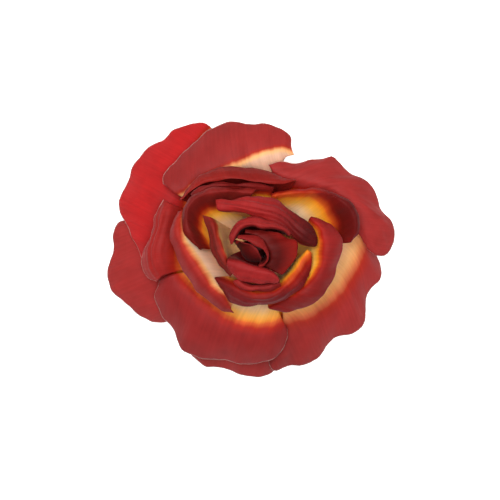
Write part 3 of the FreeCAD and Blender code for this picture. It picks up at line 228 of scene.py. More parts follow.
# %% The petals' curves
# label: ring, azimuth of the root, crest, rim; belly, how far the wall swells; fold, how
# long the crest keeps its own direction; lean, the crest's tilt, 90 upright.
PETALS = {
    "back_petal_bottom": dict(ring=0, azimuth=268,
        crest=[(-20, -20, 0.5), (-13, -27, 1), (-3, -31, 0.5), (5, -30, -2), (10, -25, -4)],
        rim=[(-25.5, -33, -7.5), (-22.5, -38.8, -8), (-19, -41.2, -8), (-14, -41.4, -8),
             (-8, -43.9, -8), (1.8, -44.8, -9), (7, -40.5, -12.2), (10, -34, -13)]),
    "back_petal_right": dict(ring=0, azimuth=335,
        crest=[(8, -26, 3.5), (16, -23, 5), (24, -16.5, 6), (29, -8.5, 6), (32, 0, 5),
               (33, 5, 4)],
        rim=[(3.2, -38, -4), (5.2, -42.8, -4.8), (11, -41.3, -5.6), (17.5, -40.2, -5.5),
             (21.5, -37, -5), (23.8, -33.8, -4.5), (28.5, -30.8, -4), (33.5, -29.2, -4),
             (36.6, -26, -4), (36.9, -21, -3), (38.2, -15, -3), (41.8, -10.6, -4),
             (42.5, -6.5, -4), (40.5, -2.5, -3), (38, 1.5, -2)]),
    "back_petal_left": dict(ring=0, azimuth=200,
        crest=[(-27, 8, 1.5), (-31, 3, 2), (-33, -5, 2.5), (-31, -12, 2.5), (-26, -19, 2)],
        rim=[(-44, 9.5, -5), (-48.5, 9, -6), (-50.2, 4, -6), (-50.4, -2, -6),
             (-52.9, -8.8, -7), (-51.5, -13.7, -7), (-46, -19.8, -7), (-40.5, -24.3, -7),
             (-35, -26.2, -7), (-29, -25, -7)]),
    "back_petal_top_left": dict(ring=0, azimuth=130,
        crest=[(-11, 27, 7), (-20, 25, 8), (-28, 19, 8.5), (-32, 10, 8.5), (-31, 1, 7.5)],
        rim=[(-15, 40, 3), (-18.5, 42.3, 2), (-23, 42.6, 1), (-29, 40.3, 0),
             (-33, 36.8, -1), (-38.5, 34.3, -2), (-42, 30, -2.5), (-45, 23, -2.5),
             (-48, 17, -2), (-48.2, 12.3, -1.5), (-45.5, 8, -0.5), (-42.8, 2, 1),
             (-40.4, -4.5, 2)]),
    "outer_petal_top": dict(ring=1, azimuth=100, belly=(1, 1.6, 2.4, 2.6, 2.5, 1.8, 1),
        crest=[(9.5, 30.5, 9), (4, 31.2, 10.5), (-4, 29.4, 12), (-12, 27.1, 13),
               (-19, 24.4, 13), (-24.5, 20.8, 12.5), (-29, 18.6, 12)],
        rim=[(12.3, 31.5, 7.5), (11, 34, 7.5), (10.6, 37.5, 7), (8, 40.3, 6.5), (3, 42, 6),
             (-5, 41.9, 6), (-10.5, 43, 6), (-13.5, 42, 5.5), (-17, 39.8, 5.5),
             (-21.5, 36, 6), (-26, 32, 7), (-29.8, 28.2, 8), (-32.2, 24.5, 9),
             (-32.4, 21.3, 10)]),
    "outer_petal_right": dict(ring=1, azimuth=30, belly=(1.25,),
        crest=[(33.5, 4.5, 9), (33.3, 10, 11), (30, 15.8, 12.5), (25, 19.8, 13.5),
               (18, 22.3, 14), (11, 23.8, 14), (4, 26.3, 13)],
        rim=[(35, 2.5, 7), (38.5, -1.9, 4), (42.8, -3, 2.5), (46, 0, 2), (46.6, 4, 2),
             (45, 8.8, 3), (41.5, 13.5, 4.5), (39.3, 20.3, 5), (36, 22.6, 6),
             (31, 25.3, 7), (27.5, 29, 7), (25, 30.9, 7), (21, 30, 8), (14, 28.7, 10),
             (7, 28.9, 12), (3.2, 28, 12.5)]),
    "outer_petal_bottom": dict(ring=1, azimuth=245,
        crest=[(-30, -9.5, 7), (-25.5, -14.5, 8), (-19, -19.5, 8.5), (-12.5, -24, 8.5),
               (-5, -27, 8), (2, -27.5, 7.5), (8.3, -25.3, 6.5)],
        rim=[(-34.3, -11.5, 4), (-35.7, -17, 1), (-34, -22, -1), (-29.5, -29, -2.5),
             (-26, -35.5, -3), (-20, -38.3, -3), (-10, -39.3, -2.5), (0, -40.2, -2),
             (6, -37.8, -0.5), (9.4, -32, 2), (9.6, -28, 4)]),
    "outer_petal_left": dict(ring=1, azimuth=175,
        crest=[(-30.5, 15, 12), (-33, 9, 14), (-34.5, 2, 14.5), (-34.7, -4, 13.5),
               (-33.3, -10.3, 11)],
        rim=[(-32.4, 16, 11), (-34.3, 12.5, 10), (-36.4, 6.5, 9), (-38.5, 0, 8),
             (-39.9, -6, 7), (-38, -10.5, 6.7), (-35, -12, 8)]),
    "middle_petal_top": dict(ring=2, azimuth=100, lean=150,
        belly=(0.7, 0.7, 0.75, 0.75, 0.65, 0.55, 0.5, 0.6, 0.8),
        fold=(0.3, 1, 1.8, 2.1, 2, 1.8, 1.5, 1, 0.4),
        crest=[(12.6, 22.2, 15.5), (8, 21.2, 18.3), (3, 21.4, 19.5), (-2, 21.9, 20),
               (-7, 22.4, 20), (-12, 22.7, 19.6), (-18, 21.7, 18.6), (-23.3, 18.2, 17),
               (-26, 15.5, 15)]),
    "middle_petal_right": dict(ring=2, azimuth=30,
        crest=[(30.8, 1.3, 13), (32.3, 5, 15.5), (32.2, 9.5, 16.8), (29.8, 13.6, 17.6),
               (26, 16.6, 18.3), (21, 18, 18.8), (14, 18.3, 18.9), (8, 17.7, 18.5),
               (4, 17, 18)],
        rim=[(31.5, 1.3, 12.2), (33.6, 4.5, 14.2), (33.7, 9.8, 15.2), (31.2, 14.6, 16.2),
             (27, 17.8, 17), (21.5, 19.3, 17.3), (14, 19.4, 17.3), (8, 18.8, 17),
             (4, 18.2, 16.5)]),
    "middle_petal_lower_right": dict(ring=2, azimuth=310,
        crest=[(3.2, -20.8, 15), (8, -19, 17.5), (14, -15.8, 20), (19, -11, 21.5),
               (21.8, -5, 22.5), (22.3, 1, 22.5), (20.8, 6.3, 22), (17, 9.8, 20.5)],
        rim=[(4.5, -21.4, 14.5), (11, -22, 15), (20, -17.6, 16.5), (25, -10.5, 17.5),
             (27.5, -3, 18), (27.8, 2, 18), (26, 6, 18.5), (21.5, 9, 19.5),
             (17.5, 10.3, 20)]),
    "middle_petal_lower_left": dict(ring=2, azimuth=220,
        crest=[(-26, 12.3, 18), (-27.3, 7, 20), (-26.5, 2.5, 21), (-24.3, -1.5, 21.5),
               (-20.7, -7.5, 21.5), (-17, -12.7, 21), (-12.5, -17.3, 19),
               (-9.3, -21, 16.5)],
        rim=[(-27.6, 12, 16.5), (-29.5, 6, 16.5), (-29.2, 0, 16.5), (-26.3, -6.8, 16.5),
             (-22.5, -12.3, 16.5), (-19.5, -16.5, 16), (-14, -20.5, 15.5),
             (-8.6, -22.4, 15)]),
    "inner_petal_top": dict(ring=3, azimuth=105,
        crest=[(5, 19.9, 14.3), (0, 20.2, 15.6), (-6, 20.5, 16.8), (-12, 20.6, 17.7),
               (-18, 19.5, 18), (-22.5, 17, 17)],
        rim=[(5, 20.7, 13.3), (0, 21.1, 14.6), (-6, 21.7, 15.7), (-12, 21.9, 16.3),
             (-18, 20.9, 16.3), (-23.2, 18, 15.5)]),
    "inner_petal_left": dict(ring=3, azimuth=165,
        crest=[(-2, 18, 19), (-10, 18.6, 20), (-17, 18, 20.5), (-21.5, 16, 20.5),
               (-24, 12.5, 20.2), (-24.2, 8, 19.5), (-22.5, 3, 18), (-19.8, -0.8, 15.8)],
        rim=[(-1, 19.5, 17.5), (-9, 19.9, 18.5), (-17, 19.4, 19), (-22.6, 17.2, 18.8),
             (-25.4, 13, 18.3), (-25.6, 7.5, 18), (-23.2, 2, 16.9), (-19.6, -1.4, 15)]),
    "inner_petal_bottom": dict(ring=3, azimuth=285,
        crest=[(-15, -10.5, 18), (-12.3, -11.9, 20), (-9, -13.6, 21), (-5, -15.4, 21.5),
               (0, -16.5, 22), (5, -15.5, 22), (9.5, -12.2, 21.5), (12.5, -8.3, 21),
               (14.6, -4, 20.3), (16.3, -1.2, 19)],
        rim=[(-14.2, -11.8, 16.8), (-12.4, -14.8, 16.8), (-10, -18.3, 17), (-4, -19.7, 18),
             (3, -19.6, 18), (9, -17.2, 18.5), (14.2, -13.4, 18.8), (17.2, -9, 18.8),
             (17.8, -5, 18.6), (17, -1.7, 18.5)]),
    "heart_petal_right": dict(ring=4, azimuth=50,
        crest=[(19.2, 0.3, 19), (16, 1.8, 20.5), (12, 4.5, 22), (7.5, 8, 23),
               (3, 10.4, 23.5), (-2, 12, 23.3), (-8, 12.9, 22.5), (-14, 12.9, 20.5)],
        rim=[(19.7, 2, 18), (18.8, 5, 18), (15.5, 8.8, 18.5), (10, 13, 19), (4, 16.2, 19),
             (-3, 17, 19.5), (-9, 16.1, 19.5), (-14.5, 15.4, 19)]),
    "heart_petal_left": dict(ring=4, azimuth=180,
        crest=[(-16.2, 9.8, 20), (-15, 6, 21.5), (-13.8, 2, 22), (-12.4, -2, 22),
               (-10.8, -5.5, 21.5), (-8.5, -8.5, 20.5)],
        rim=[(-18.6, 10.6, 19), (-17.3, 6, 19), (-17, 1, 19), (-15, -3.2, 19),
             (-12.3, -7, 19), (-9.5, -9.8, 18.5)]),
    "heart_petal_bottom": dict(ring=4, azimuth=275,
        crest=[(-7.5, -10.8, 20), (-5.5, -12.6, 20.7), (-2.5, -13.4, 21), (1, -13.1, 21.3),
               (4.5, -12.7, 21.3), (7, -12, 20.5)],
        rim=[(-8.8, -11.2, 19), (-7, -13.4, 19.3), (-3.5, -14.8, 19.6), (1, -15.2, 20),
             (5, -14.6, 20), (7.4, -13.5, 19.3)]),
    "bud_petal_bottom": dict(ring=5, azimuth=240, belly=(0.8,),
        crest=[(-10.6, -4.8, 21), (-7.5, -5.6, 22), (-4, -6.6, 22.5), (0, -7.9, 22.8),
               (3.3, -8.7, 22.5), (5.6, -10, 21.8), (6.7, -11.2, 20.7)],
        rim=[(-10.4, -6.8, 19.5), (-8.5, -9.3, 19.5), (-6, -11.4, 19.5),
             (-2.5, -12.4, 19.7), (1, -12.1, 19.8), (4, -11.9, 19.8), (6.2, -12, 19.8)]),
    "bud_petal_top": dict(ring=5, azimuth=95, belly=(0.75,),
        crest=[(10.2, 3.7, 20.8), (8.8, 5.1, 22.3), (6, 6.4, 23.5), (1, 7, 24),
               (-3, 7.4, 24), (-6, 6.5, 23.5), (-8, 4, 23), (-8.9, 0.9, 22)],
        rim=[(10.8, 4.5, 20), (9.3, 6.5, 20.7), (7, 8, 21), (2, 9.3, 21.2), (-3, 9.8, 21),
             (-6.8, 9, 21), (-9.3, 6, 21), (-9.9, 3, 21), (-9.4, 0.7, 21.5)]),
    "bud_petal_right": dict(ring=5, azimuth=346, belly=(0.5,),
        crest=[(2.4, -6.6, 20.6), (3.6, -5.9, 21.4), (4.3, -4.6, 22), (4.5, -2.9, 22.5),
               (4, -0.8, 22.8), (2.7, 1.5, 22.8), (0.6, 3.3, 22.6), (-2, 4.3, 22.2),
               (-4.6, 4.7, 21.4)],
        rim=[(7.4, -9.3, 18.8), (8.9, -8.3, 18.2), (10.6, -6.6, 17.4), (12.2, -3.6, 17.2),
             (12.6, -0.6, 17.4), (12.2, 2.2, 18.2), (9.6, 3.2, 19), (6, 4.9, 20.3),
             (2, 5.5, 20.8), (-1.6, 5.7, 20.8), (-4.6, 5.6, 20.5)]),
    "bud_petal_inner": dict(ring=6, azimuth=80, belly=(0.3,),
        crest=[(-0.2, -6.4, 20), (1.8, -5.4, 21), (2.6, -4, 21.8), (2.4, -2.4, 22.3),
               (1.1, -0.6, 22.8), (-0.8, 0.8, 23), (-3, 1.9, 23), (-5.5, 2.7, 22.5),
               (-7.2, 2.9, 21.8)],
        rim=[(0.1, -6.9, 19.6), (2.1, -6, 20.3), (3.2, -4.5, 20.9), (3.6, -2.8, 21.2),
             (3.1, -0.6, 21.4), (1.4, 1.7, 21.5), (-1, 3.3, 21.5), (-4, 4.1, 21.3),
             (-7, 3.9, 21)]),
    "bud_petal_left": dict(ring=6, azimuth=205, lean=140,
        belly=(0, 0.3, 0.5, 0.5, 0.4, 0.2, 0.1),
        fold=(0.25, 0.8, 1.3, 1.4, 1.2, 0.8, 0.4),
        crest=[(-7.5, 0.9, 19.2), (-6.4, 1.7, 20.7), (-4.4, 1.4, 21.6), (-2.2, 0.6, 21.9),
               (-0.5, -0.7, 21.9), (0.4, -2.2, 21.5), (0.5, -3.8, 20.6)]),
}

# label: reach, how far below the crest the red reaches, less than 0 where cream shows on
# the rolled side; wine, how much darker the red is drawn, partly a deeper dye and mostly
# painted shade where the rose lies deep and where one petal shades another; both from the
# petal's first side to its last. soft: width of the fade; glow: how yellow it gets; fray:
# width of the pale cut edge, which also carries a painted highlight; red: the dye at its
# strongest; cream: the cloth where no dye reaches; hollow: from here to here below the crest
# the red is drawn darker as painted shade, by so much; pleat: height of the folds along the
# crest. Lengths are in millimetres. A petal gives only what differs from the common dye.
COMMON_DYE = dict(soft=1, glow=1, fray_and_highlight=1, cream="#F6D2A8", painted_shade_band=(0, 8, 0.3), pleat=0)
DYES = {
    "back_petal_bottom": dict(reach=(3, 3, 3), wine=(0.1, 0.1, 0.3), red="#962927"),
    # Painted shadow: the high wine at this petal's first side darkens it where the edge of
    # outer_petal_bottom shades it.
    "back_petal_right": dict(reach=(-0.5, -2.5, -5.5), wine=(0.6, 0.15, 0, 0), red="#9A2B29",
        cream="#F0C09C", soft=1.7, glow=0.35),
    "back_petal_left": dict(reach=(3, 3, 3), wine=(0,), red="#982927"),
    "back_petal_top_left": dict(reach=(-17, -8, 2, 5, 6, 6), wine=(0,), red="#B01D1E",
        painted_shade_band=(-11, -2, 0.3)),
    "outer_petal_top": dict(reach=(-4.5, -2.2, -0.6, 0.2, 0.5, 1.5), wine=(0, 0, 0.1, 0.2, 0.3),
        red="#942826", cream="#DDAE92", soft=0.55, glow=0.3),
    "outer_petal_right": dict(reach=(4, 5, 5), wine=(0, 0.05, 0.1), red="#9A2B29"),
    "outer_petal_bottom": dict(reach=(3, 1.5, 0.5, 0.5), wine=(0.1, 0.05, 0.05, 0.2),
        red="#8C2221", soft=1.2, glow=0.8),
    "outer_petal_left": dict(reach=(7, 8, 7), wine=(0.2, 0.1, 0.1), red="#98221F", soft=1.6,
        glow=0.9, pleat=0.3),
    "middle_petal_top": dict(reach=(10, 20, 30, 30, 30), wine=(0.1, 0.25, 0.2, 0.1, 0.2),
        red="#8D1D17", fray_and_highlight=0.1, pleat=0.45),
    "middle_petal_right": dict(reach=(8, 8.5, 8, 5, 1.2, 0.5, 0.4),
        wine=(0.7, 1, 1, 0.8, 0.4, 0.2, 0.2), red="#8F1815", cream="#FADDB4", soft=2.1,
        fray_and_highlight=0.15),
    # Painted light: this petal's cream is a deeper yellow than the cloth, standing in for light
    # shining through the cloth deep in the rose.
    "middle_petal_lower_right": dict(reach=(1.8, 1.8, 1.5), wine=(0.6, 0.5, 0.15, 0.1),
        red="#8D1F1D", cream="#FAC060", fray_and_highlight=0.3),
    "middle_petal_lower_left": dict(reach=(0.5, 1, 1), wine=(0.1, 0, 0.1, 0.4), red="#8E201E",
        cream="#F4CEB0", soft=0.8, glow=0.3, fray_and_highlight=0.3),
    "inner_petal_top": dict(reach=(4, 4, 4), wine=(0.3, 0.5, 0.4), red="#831916", fray_and_highlight=0.2,
        pleat=0.35),
    # Painted light: the creams of this petal and of the two heart petals are warmer and more
    # orange than the cloth, standing in for light bounced between the red petals into their shade.
    "inner_petal_left": dict(reach=(10, 8.5, 7.5), wine=(0.1, 0.3, 0.5, 0.6, 0.6),
        red="#831D19", cream="#FAC898", soft=1.6, fray_and_highlight=0.15),
    "inner_petal_bottom": dict(reach=(4, 2.5, 2, 1.5, -0.6, -1.6),
        wine=(0.6, 0.5, 0.5, 0.6, 0.5, 0.4), red="#7C1B1D", soft=1.4, fray_and_highlight=0.15, pleat=0.15),
    "heart_petal_right": dict(reach=(3, 4, 4), wine=(1.2, 1.2, 0.8, 0.35, 0.1, 0, 0.1),
        red="#961F1E", cream="#F8B868", glow=0.7, fray_and_highlight=0.15, pleat=0.42),
    "heart_petal_left": dict(reach=(1.5, 1.5, 1.5), wine=(0.3, 0.5, 0.5), red="#7C1F18",
        cream="#F8BC80", glow=0.4, fray_and_highlight=0.3, pleat=0.2),
    "heart_petal_bottom": dict(reach=(5, 5, 5), wine=(0, 0.2, 0.5, 0.5), red="#8D1F1D",
        fray_and_highlight=0.15, pleat=0.2),
    "bud_petal_bottom": dict(reach=(60,), wine=(0.1, 0, 0.1), red="#8D1D1D", cream="#F8BC80",
        fray_and_highlight=0.2, pleat=0.12),
    "bud_petal_top": dict(reach=(60,), wine=(0.2, 0.1, 0, 0.1, 0.3), red="#8E1F1E", fray_and_highlight=0.15,
        painted_shade_band=(-1, 5, 0.8), pleat=0.15),
    "bud_petal_right": dict(reach=(60,), wine=(0.3, 0.3, 0.1, 0.1), red="#9A1D18", fray_and_highlight=0.1,
        painted_shade_band=(-8.5, -2.5, 0.95)),
    "bud_petal_inner": dict(reach=(60,), wine=(0.3, 0.2, 0.2), red="#851A18", fray_and_highlight=0.1,
        painted_shade_band=(0, 4, 0.8)),
    "bud_petal_left": dict(reach=(60,), wine=(0.3, 0.4, 0.5), red="#851A18", fray_and_highlight=0.1,
        painted_shade_band=(-1, 5, 0.5)),
}
print(len(PETALS), "petals")

# %% [markdown]
# Each curve is sampled as a cubic spline whose speed follows the spacing of its points,
# which keeps it from overshooting where two points are close.

# %% Smooth curves and cubics
def smooth_curve(points, count):
    """Points spread evenly along a smooth curve through the given points."""
    points = np.array(points, float) * MM
    steps = np.linalg.norm(np.diff(points, axis=0), axis=1)
    knots = np.concatenate([[0], np.cumsum(steps)])
    chords = np.diff(points, axis=0) / steps[:, None]
    slopes = np.empty_like(points)
    slopes[0], slopes[-1] = chords[0], chords[-1]
    share = (steps[1:] / (steps[:-1] + steps[1:]))[:, None]
    slopes[1:-1] = chords[:-1] * share + chords[1:] * (1 - share)
    at = np.linspace(0, knots[-1], count)
    i = np.clip(np.searchsorted(knots, at, side="right") - 1, 0, len(steps) - 1)
    step = steps[i][:, None]
    return cubic(points[i], slopes[i] * step, points[i + 1], slopes[i + 1] * step,
                 ((at - knots[i]) / steps[i])[:, None])


def cubic(start, start_pull, end, end_pull, t):
    """The cubic from start to end that leaves and arrives along the two pulls."""
    return (start * (2 * t**3 - 3 * t**2 + 1) + start_pull * (t**3 - 2 * t**2 + t)
            + end * (3 * t**2 - 2 * t**3) + end_pull * (t**3 - t**2))


def unit(vectors):
    """The same directions, each one long."""
    return vectors / np.maximum(np.linalg.norm(vectors, axis=-1, keepdims=True), 1e-9)


def level(vectors):
    """The vectors without their height."""
    return vectors * np.array([1, 1, 0])


# %% [markdown]
# The surface is a grid: one row across the petal for each station from root to rim. Cloth
# that has been steam-pressed over a ball still ripples, so a few long waves move the grid
# along its normal, growing from nothing at the root to about half a millimetre at the rim.

# %% Build one petal's grid
ACROSS = 57                 # stations from one side of a petal to the other
WALL = 30                   # rows from root to crest
ROLL = 22                   # rows from crest to rim
OUTWARD_SHARE, ROOT_PULL = 0.3, 0.9
ROLL_LIMIT, RIM_PULL, RIM_DROOP = 2.2, 0.9, 0.5


def spread(values):
    """One value for each station across a petal, from a few along its width."""
    return np.interp(np.linspace(0, 1, ACROSS), np.linspace(0, 1, len(values)), values)[:, None]


def petal_grid(ring, azimuth, crest, rim=None, belly=(1.0,), fold=(0.55,), lean=0):
    """Grid of points, distance along it, and distance below its crest."""
    crest = smooth_curve(crest, ACROSS)
    side = np.linspace(-0.5, 0.5, ACROSS)
    angle = math.radians(azimuth) + side * math.radians(ROOT_SPAN[ring])
    outward = np.stack([np.cos(angle), np.sin(angle), np.zeros(ACROSS)], axis=1)
    root = outward * ROOT_RADIUS[ring]
    wall = np.linalg.norm(crest - root, axis=1, keepdims=True)
    over = unit(level(crest))
    crest_pull = spread(fold) * wall
    if rim is not None:
        rim = smooth_curve(rim, ACROSS)
        roll = np.linalg.norm(rim - crest, axis=1, keepdims=True)
        over = unit(unit(level(rim - crest)) * (1 - OUTWARD_SHARE) + over * OUTWARD_SHARE)
        crest_pull = np.minimum(crest_pull, ROLL_LIMIT * roll)
    tilt = math.radians(lean)
    crest_way = over * math.cos(tilt) + np.array([0, 0, math.sin(tilt)])
    root_way = unit(outward * OUTWARD_SHARE + unit(level(crest)) * (1 - OUTWARD_SHARE))
    rows = [outward * ROOT_HOLE, (outward * ROOT_HOLE + root) / 2]
    for t in np.linspace(0, 1, WALL + 1):
        rows.append(cubic(root, root_way * spread(belly) * ROOT_PULL * wall, crest,
                          crest_way * crest_pull, t))
    crest_row = len(rows) - 1
    if rim is not None:
        droop = unit(unit(rim - crest) + np.array([0, 0, -RIM_DROOP]))
        for t in np.linspace(0, 1, ROLL + 1)[1:]:
            rows.append(cubic(crest, crest_way * roll, rim, droop * RIM_PULL * roll, t))
    grid = np.stack(rows, axis=1)
    grid += np.array([STEM_X, STEM_Y, RING_Z[ring]])
    steps = np.linalg.norm(np.diff(grid, axis=1), axis=2)
    along = np.concatenate([np.zeros((ACROSS, 1)), np.cumsum(steps, axis=1)], axis=1)
    below_crest = along[:, crest_row:crest_row + 1] - along
    return grid, along, below_crest


def normals_of(grid):
    across, along = np.gradient(grid, axis=0), np.gradient(grid, axis=1)
    return unit(np.cross(across, along))


WAVES_MM = ((19, 0.30), (11, 0.22), (6.5, 0.12), (3.7, 0.05))       # length, height
RIPPLE_START = 0.35         # share of the way to the rim where the waves begin
PLEAT_LENGTH, PLEAT_SWAY, PLEAT_REACH = 2.6 * MM, 23 * MM, 4 * MM


def ripple(grid, along, below_crest, pleat, seed):
    """Long soft waves, most at the rim, and pleats that run along the crest."""
    dice = np.random.default_rng(seed)
    total = along[:, -1:]
    rise = np.clip((along / total - RIPPLE_START) / (1 - RIPPLE_START), 0, 1) ** 1.5
    width = np.linalg.norm(np.diff(grid, axis=0), axis=2).sum(axis=0).max()
    place = np.linspace(0, 1, len(grid))[:, None] * width
    wave = np.zeros_like(along)
    for length, height in WAVES_MM:
        lean = dice.uniform(-0.5, 0.5)
        phase = dice.uniform(0, 2 * math.pi)
        wave += height * MM * np.sin(2 * math.pi * (place + lean * along) / (length * MM) + phase)
    wave *= rise
    sway = 1.3 * np.sin(2 * math.pi * place / PLEAT_SWAY + seed)
    near_crest = np.exp(-((below_crest + PLEAT_REACH / 4) / PLEAT_REACH) ** 2)
    off_sides = np.sqrt(np.clip(np.sin(math.pi * place / width), 0, 1))
    wave += (pleat * MM * near_crest * off_sides
             * np.sin(2 * math.pi * below_crest / PLEAT_LENGTH + sway))
    return grid + normals_of(grid) * wave[:, :, None]


# %% [markdown]
# A cloth piece needs two faces and a cut edge, so the grid is doubled and closed all round.
# The satin is drawn 0.22 mm thick. Every point keeps what the dye and the weave need to
# know: how far it is past the edge of the dye, from the rim, and across and along the cloth.

# %% Turn a grid into a cloth mesh
CLOTH = 0.22 * MM


def cloth_object(name, grid, along, facts):
    """A closed cloth mesh that carries facts, each a value for every grid point."""
    wide, high, _xyz = grid.shape
    lower = grid + normals_of(grid) * CLOTH
    count = wide * high
    vertices = np.concatenate([grid.reshape(-1, 3), lower.reshape(-1, 3)])
    index = np.arange(count).reshape(wide, high)
    a, b = index[:-1, :-1].ravel(), index[:-1, 1:].ravel()
    c, e = index[1:, 1:].ravel(), index[1:, :-1].ravel()
    faces = [np.stack([a, b, c, e], axis=1)]
    faces.append(np.stack([a, e, c, b], axis=1) + count)
    border = np.concatenate([index[0, :], index[1:, -1], index[-1, -2::-1], index[-2:0:-1, 0]])
    following = np.roll(border, -1)
    faces.append(np.stack([following, border, border + count, following + count], axis=1))
    faces = np.concatenate(faces)
    mesh = bpy.data.meshes.new(name)
    mesh.from_pydata(vertices.tolist(), [], faces.tolist())
    across = np.linalg.norm(np.diff(grid, axis=0), axis=2)
    place = np.concatenate([np.zeros((1, high)), np.cumsum(across, axis=0)])
    place = place - place[wide // 2]
    facts = dict(facts, from_rim_mm=(along[:, -1:] - along) / MM, across_mm=place / MM,
                 along_mm=along / MM)
    for fact, values in facts.items():
        both = np.concatenate([values.ravel(), values.ravel()])
        attribute = mesh.attributes.new(fact, "FLOAT", "POINT")
        attribute.data.foreach_set("value", both.astype(np.float32))
    mesh.shade_smooth()
    mesh.update()
    piece = bpy.data.objects.new(name, mesh)
    bpy.context.scene.collection.objects.link(piece)
    return piece


# %% [markdown]
# ## Satin, dyed and heat-pressed
# The cloth is polyester satin. Long warp floats give it a soft lengthwise shine, so its
# roughness is middling, its sheen is low and its fine lines run from root to rim. The dye
# was brushed on from the rim: brick red, then orange and yellow where it thins, and bare
# cream cloth at the root. Painted shade darkens the red where the rose lies deep, and the
# creams of some inner petals are made warmer as painted light bounced between the petals.
# The pale line along each rim is partly the hot-cut edge and partly a painted highlight.

# %% The satin's finish
DRAWN_THREAD_MM = 0.75      # drawn coarser than the real 0.3 mm, to show from this far
DYE_SPAN_MM = 20.0          # the ramp covers from 8 mm inside the red to 12 mm past it
DYE_LEAD_MM = 8.0
DYE_WANDER_MM = 2.6         # how far the edge of the dye strays
# Painted shade: the deepest wine darkens the dye by this share, as shade deep in the rose.
PAINTED_SHADE_DEPTH = 0.62           # how much the deepest wine red darkens the dye
# The pale rim colour: partly the hot-cut edge of the cloth, partly a painted highlight with light
# through the thin rim.
RIM_EDGE_AND_HIGHLIGHT = "#E3B9AE"
GLOWING = [(0.36, "#A01A0C"), (0.43, "#CC541A"), (0.48, "#EA9320"), (0.56, "#F4B44A")]
PLAIN = [(0.38, "#A62C1E"), (0.45, "#D08058"), (0.52, "#EBB282")]


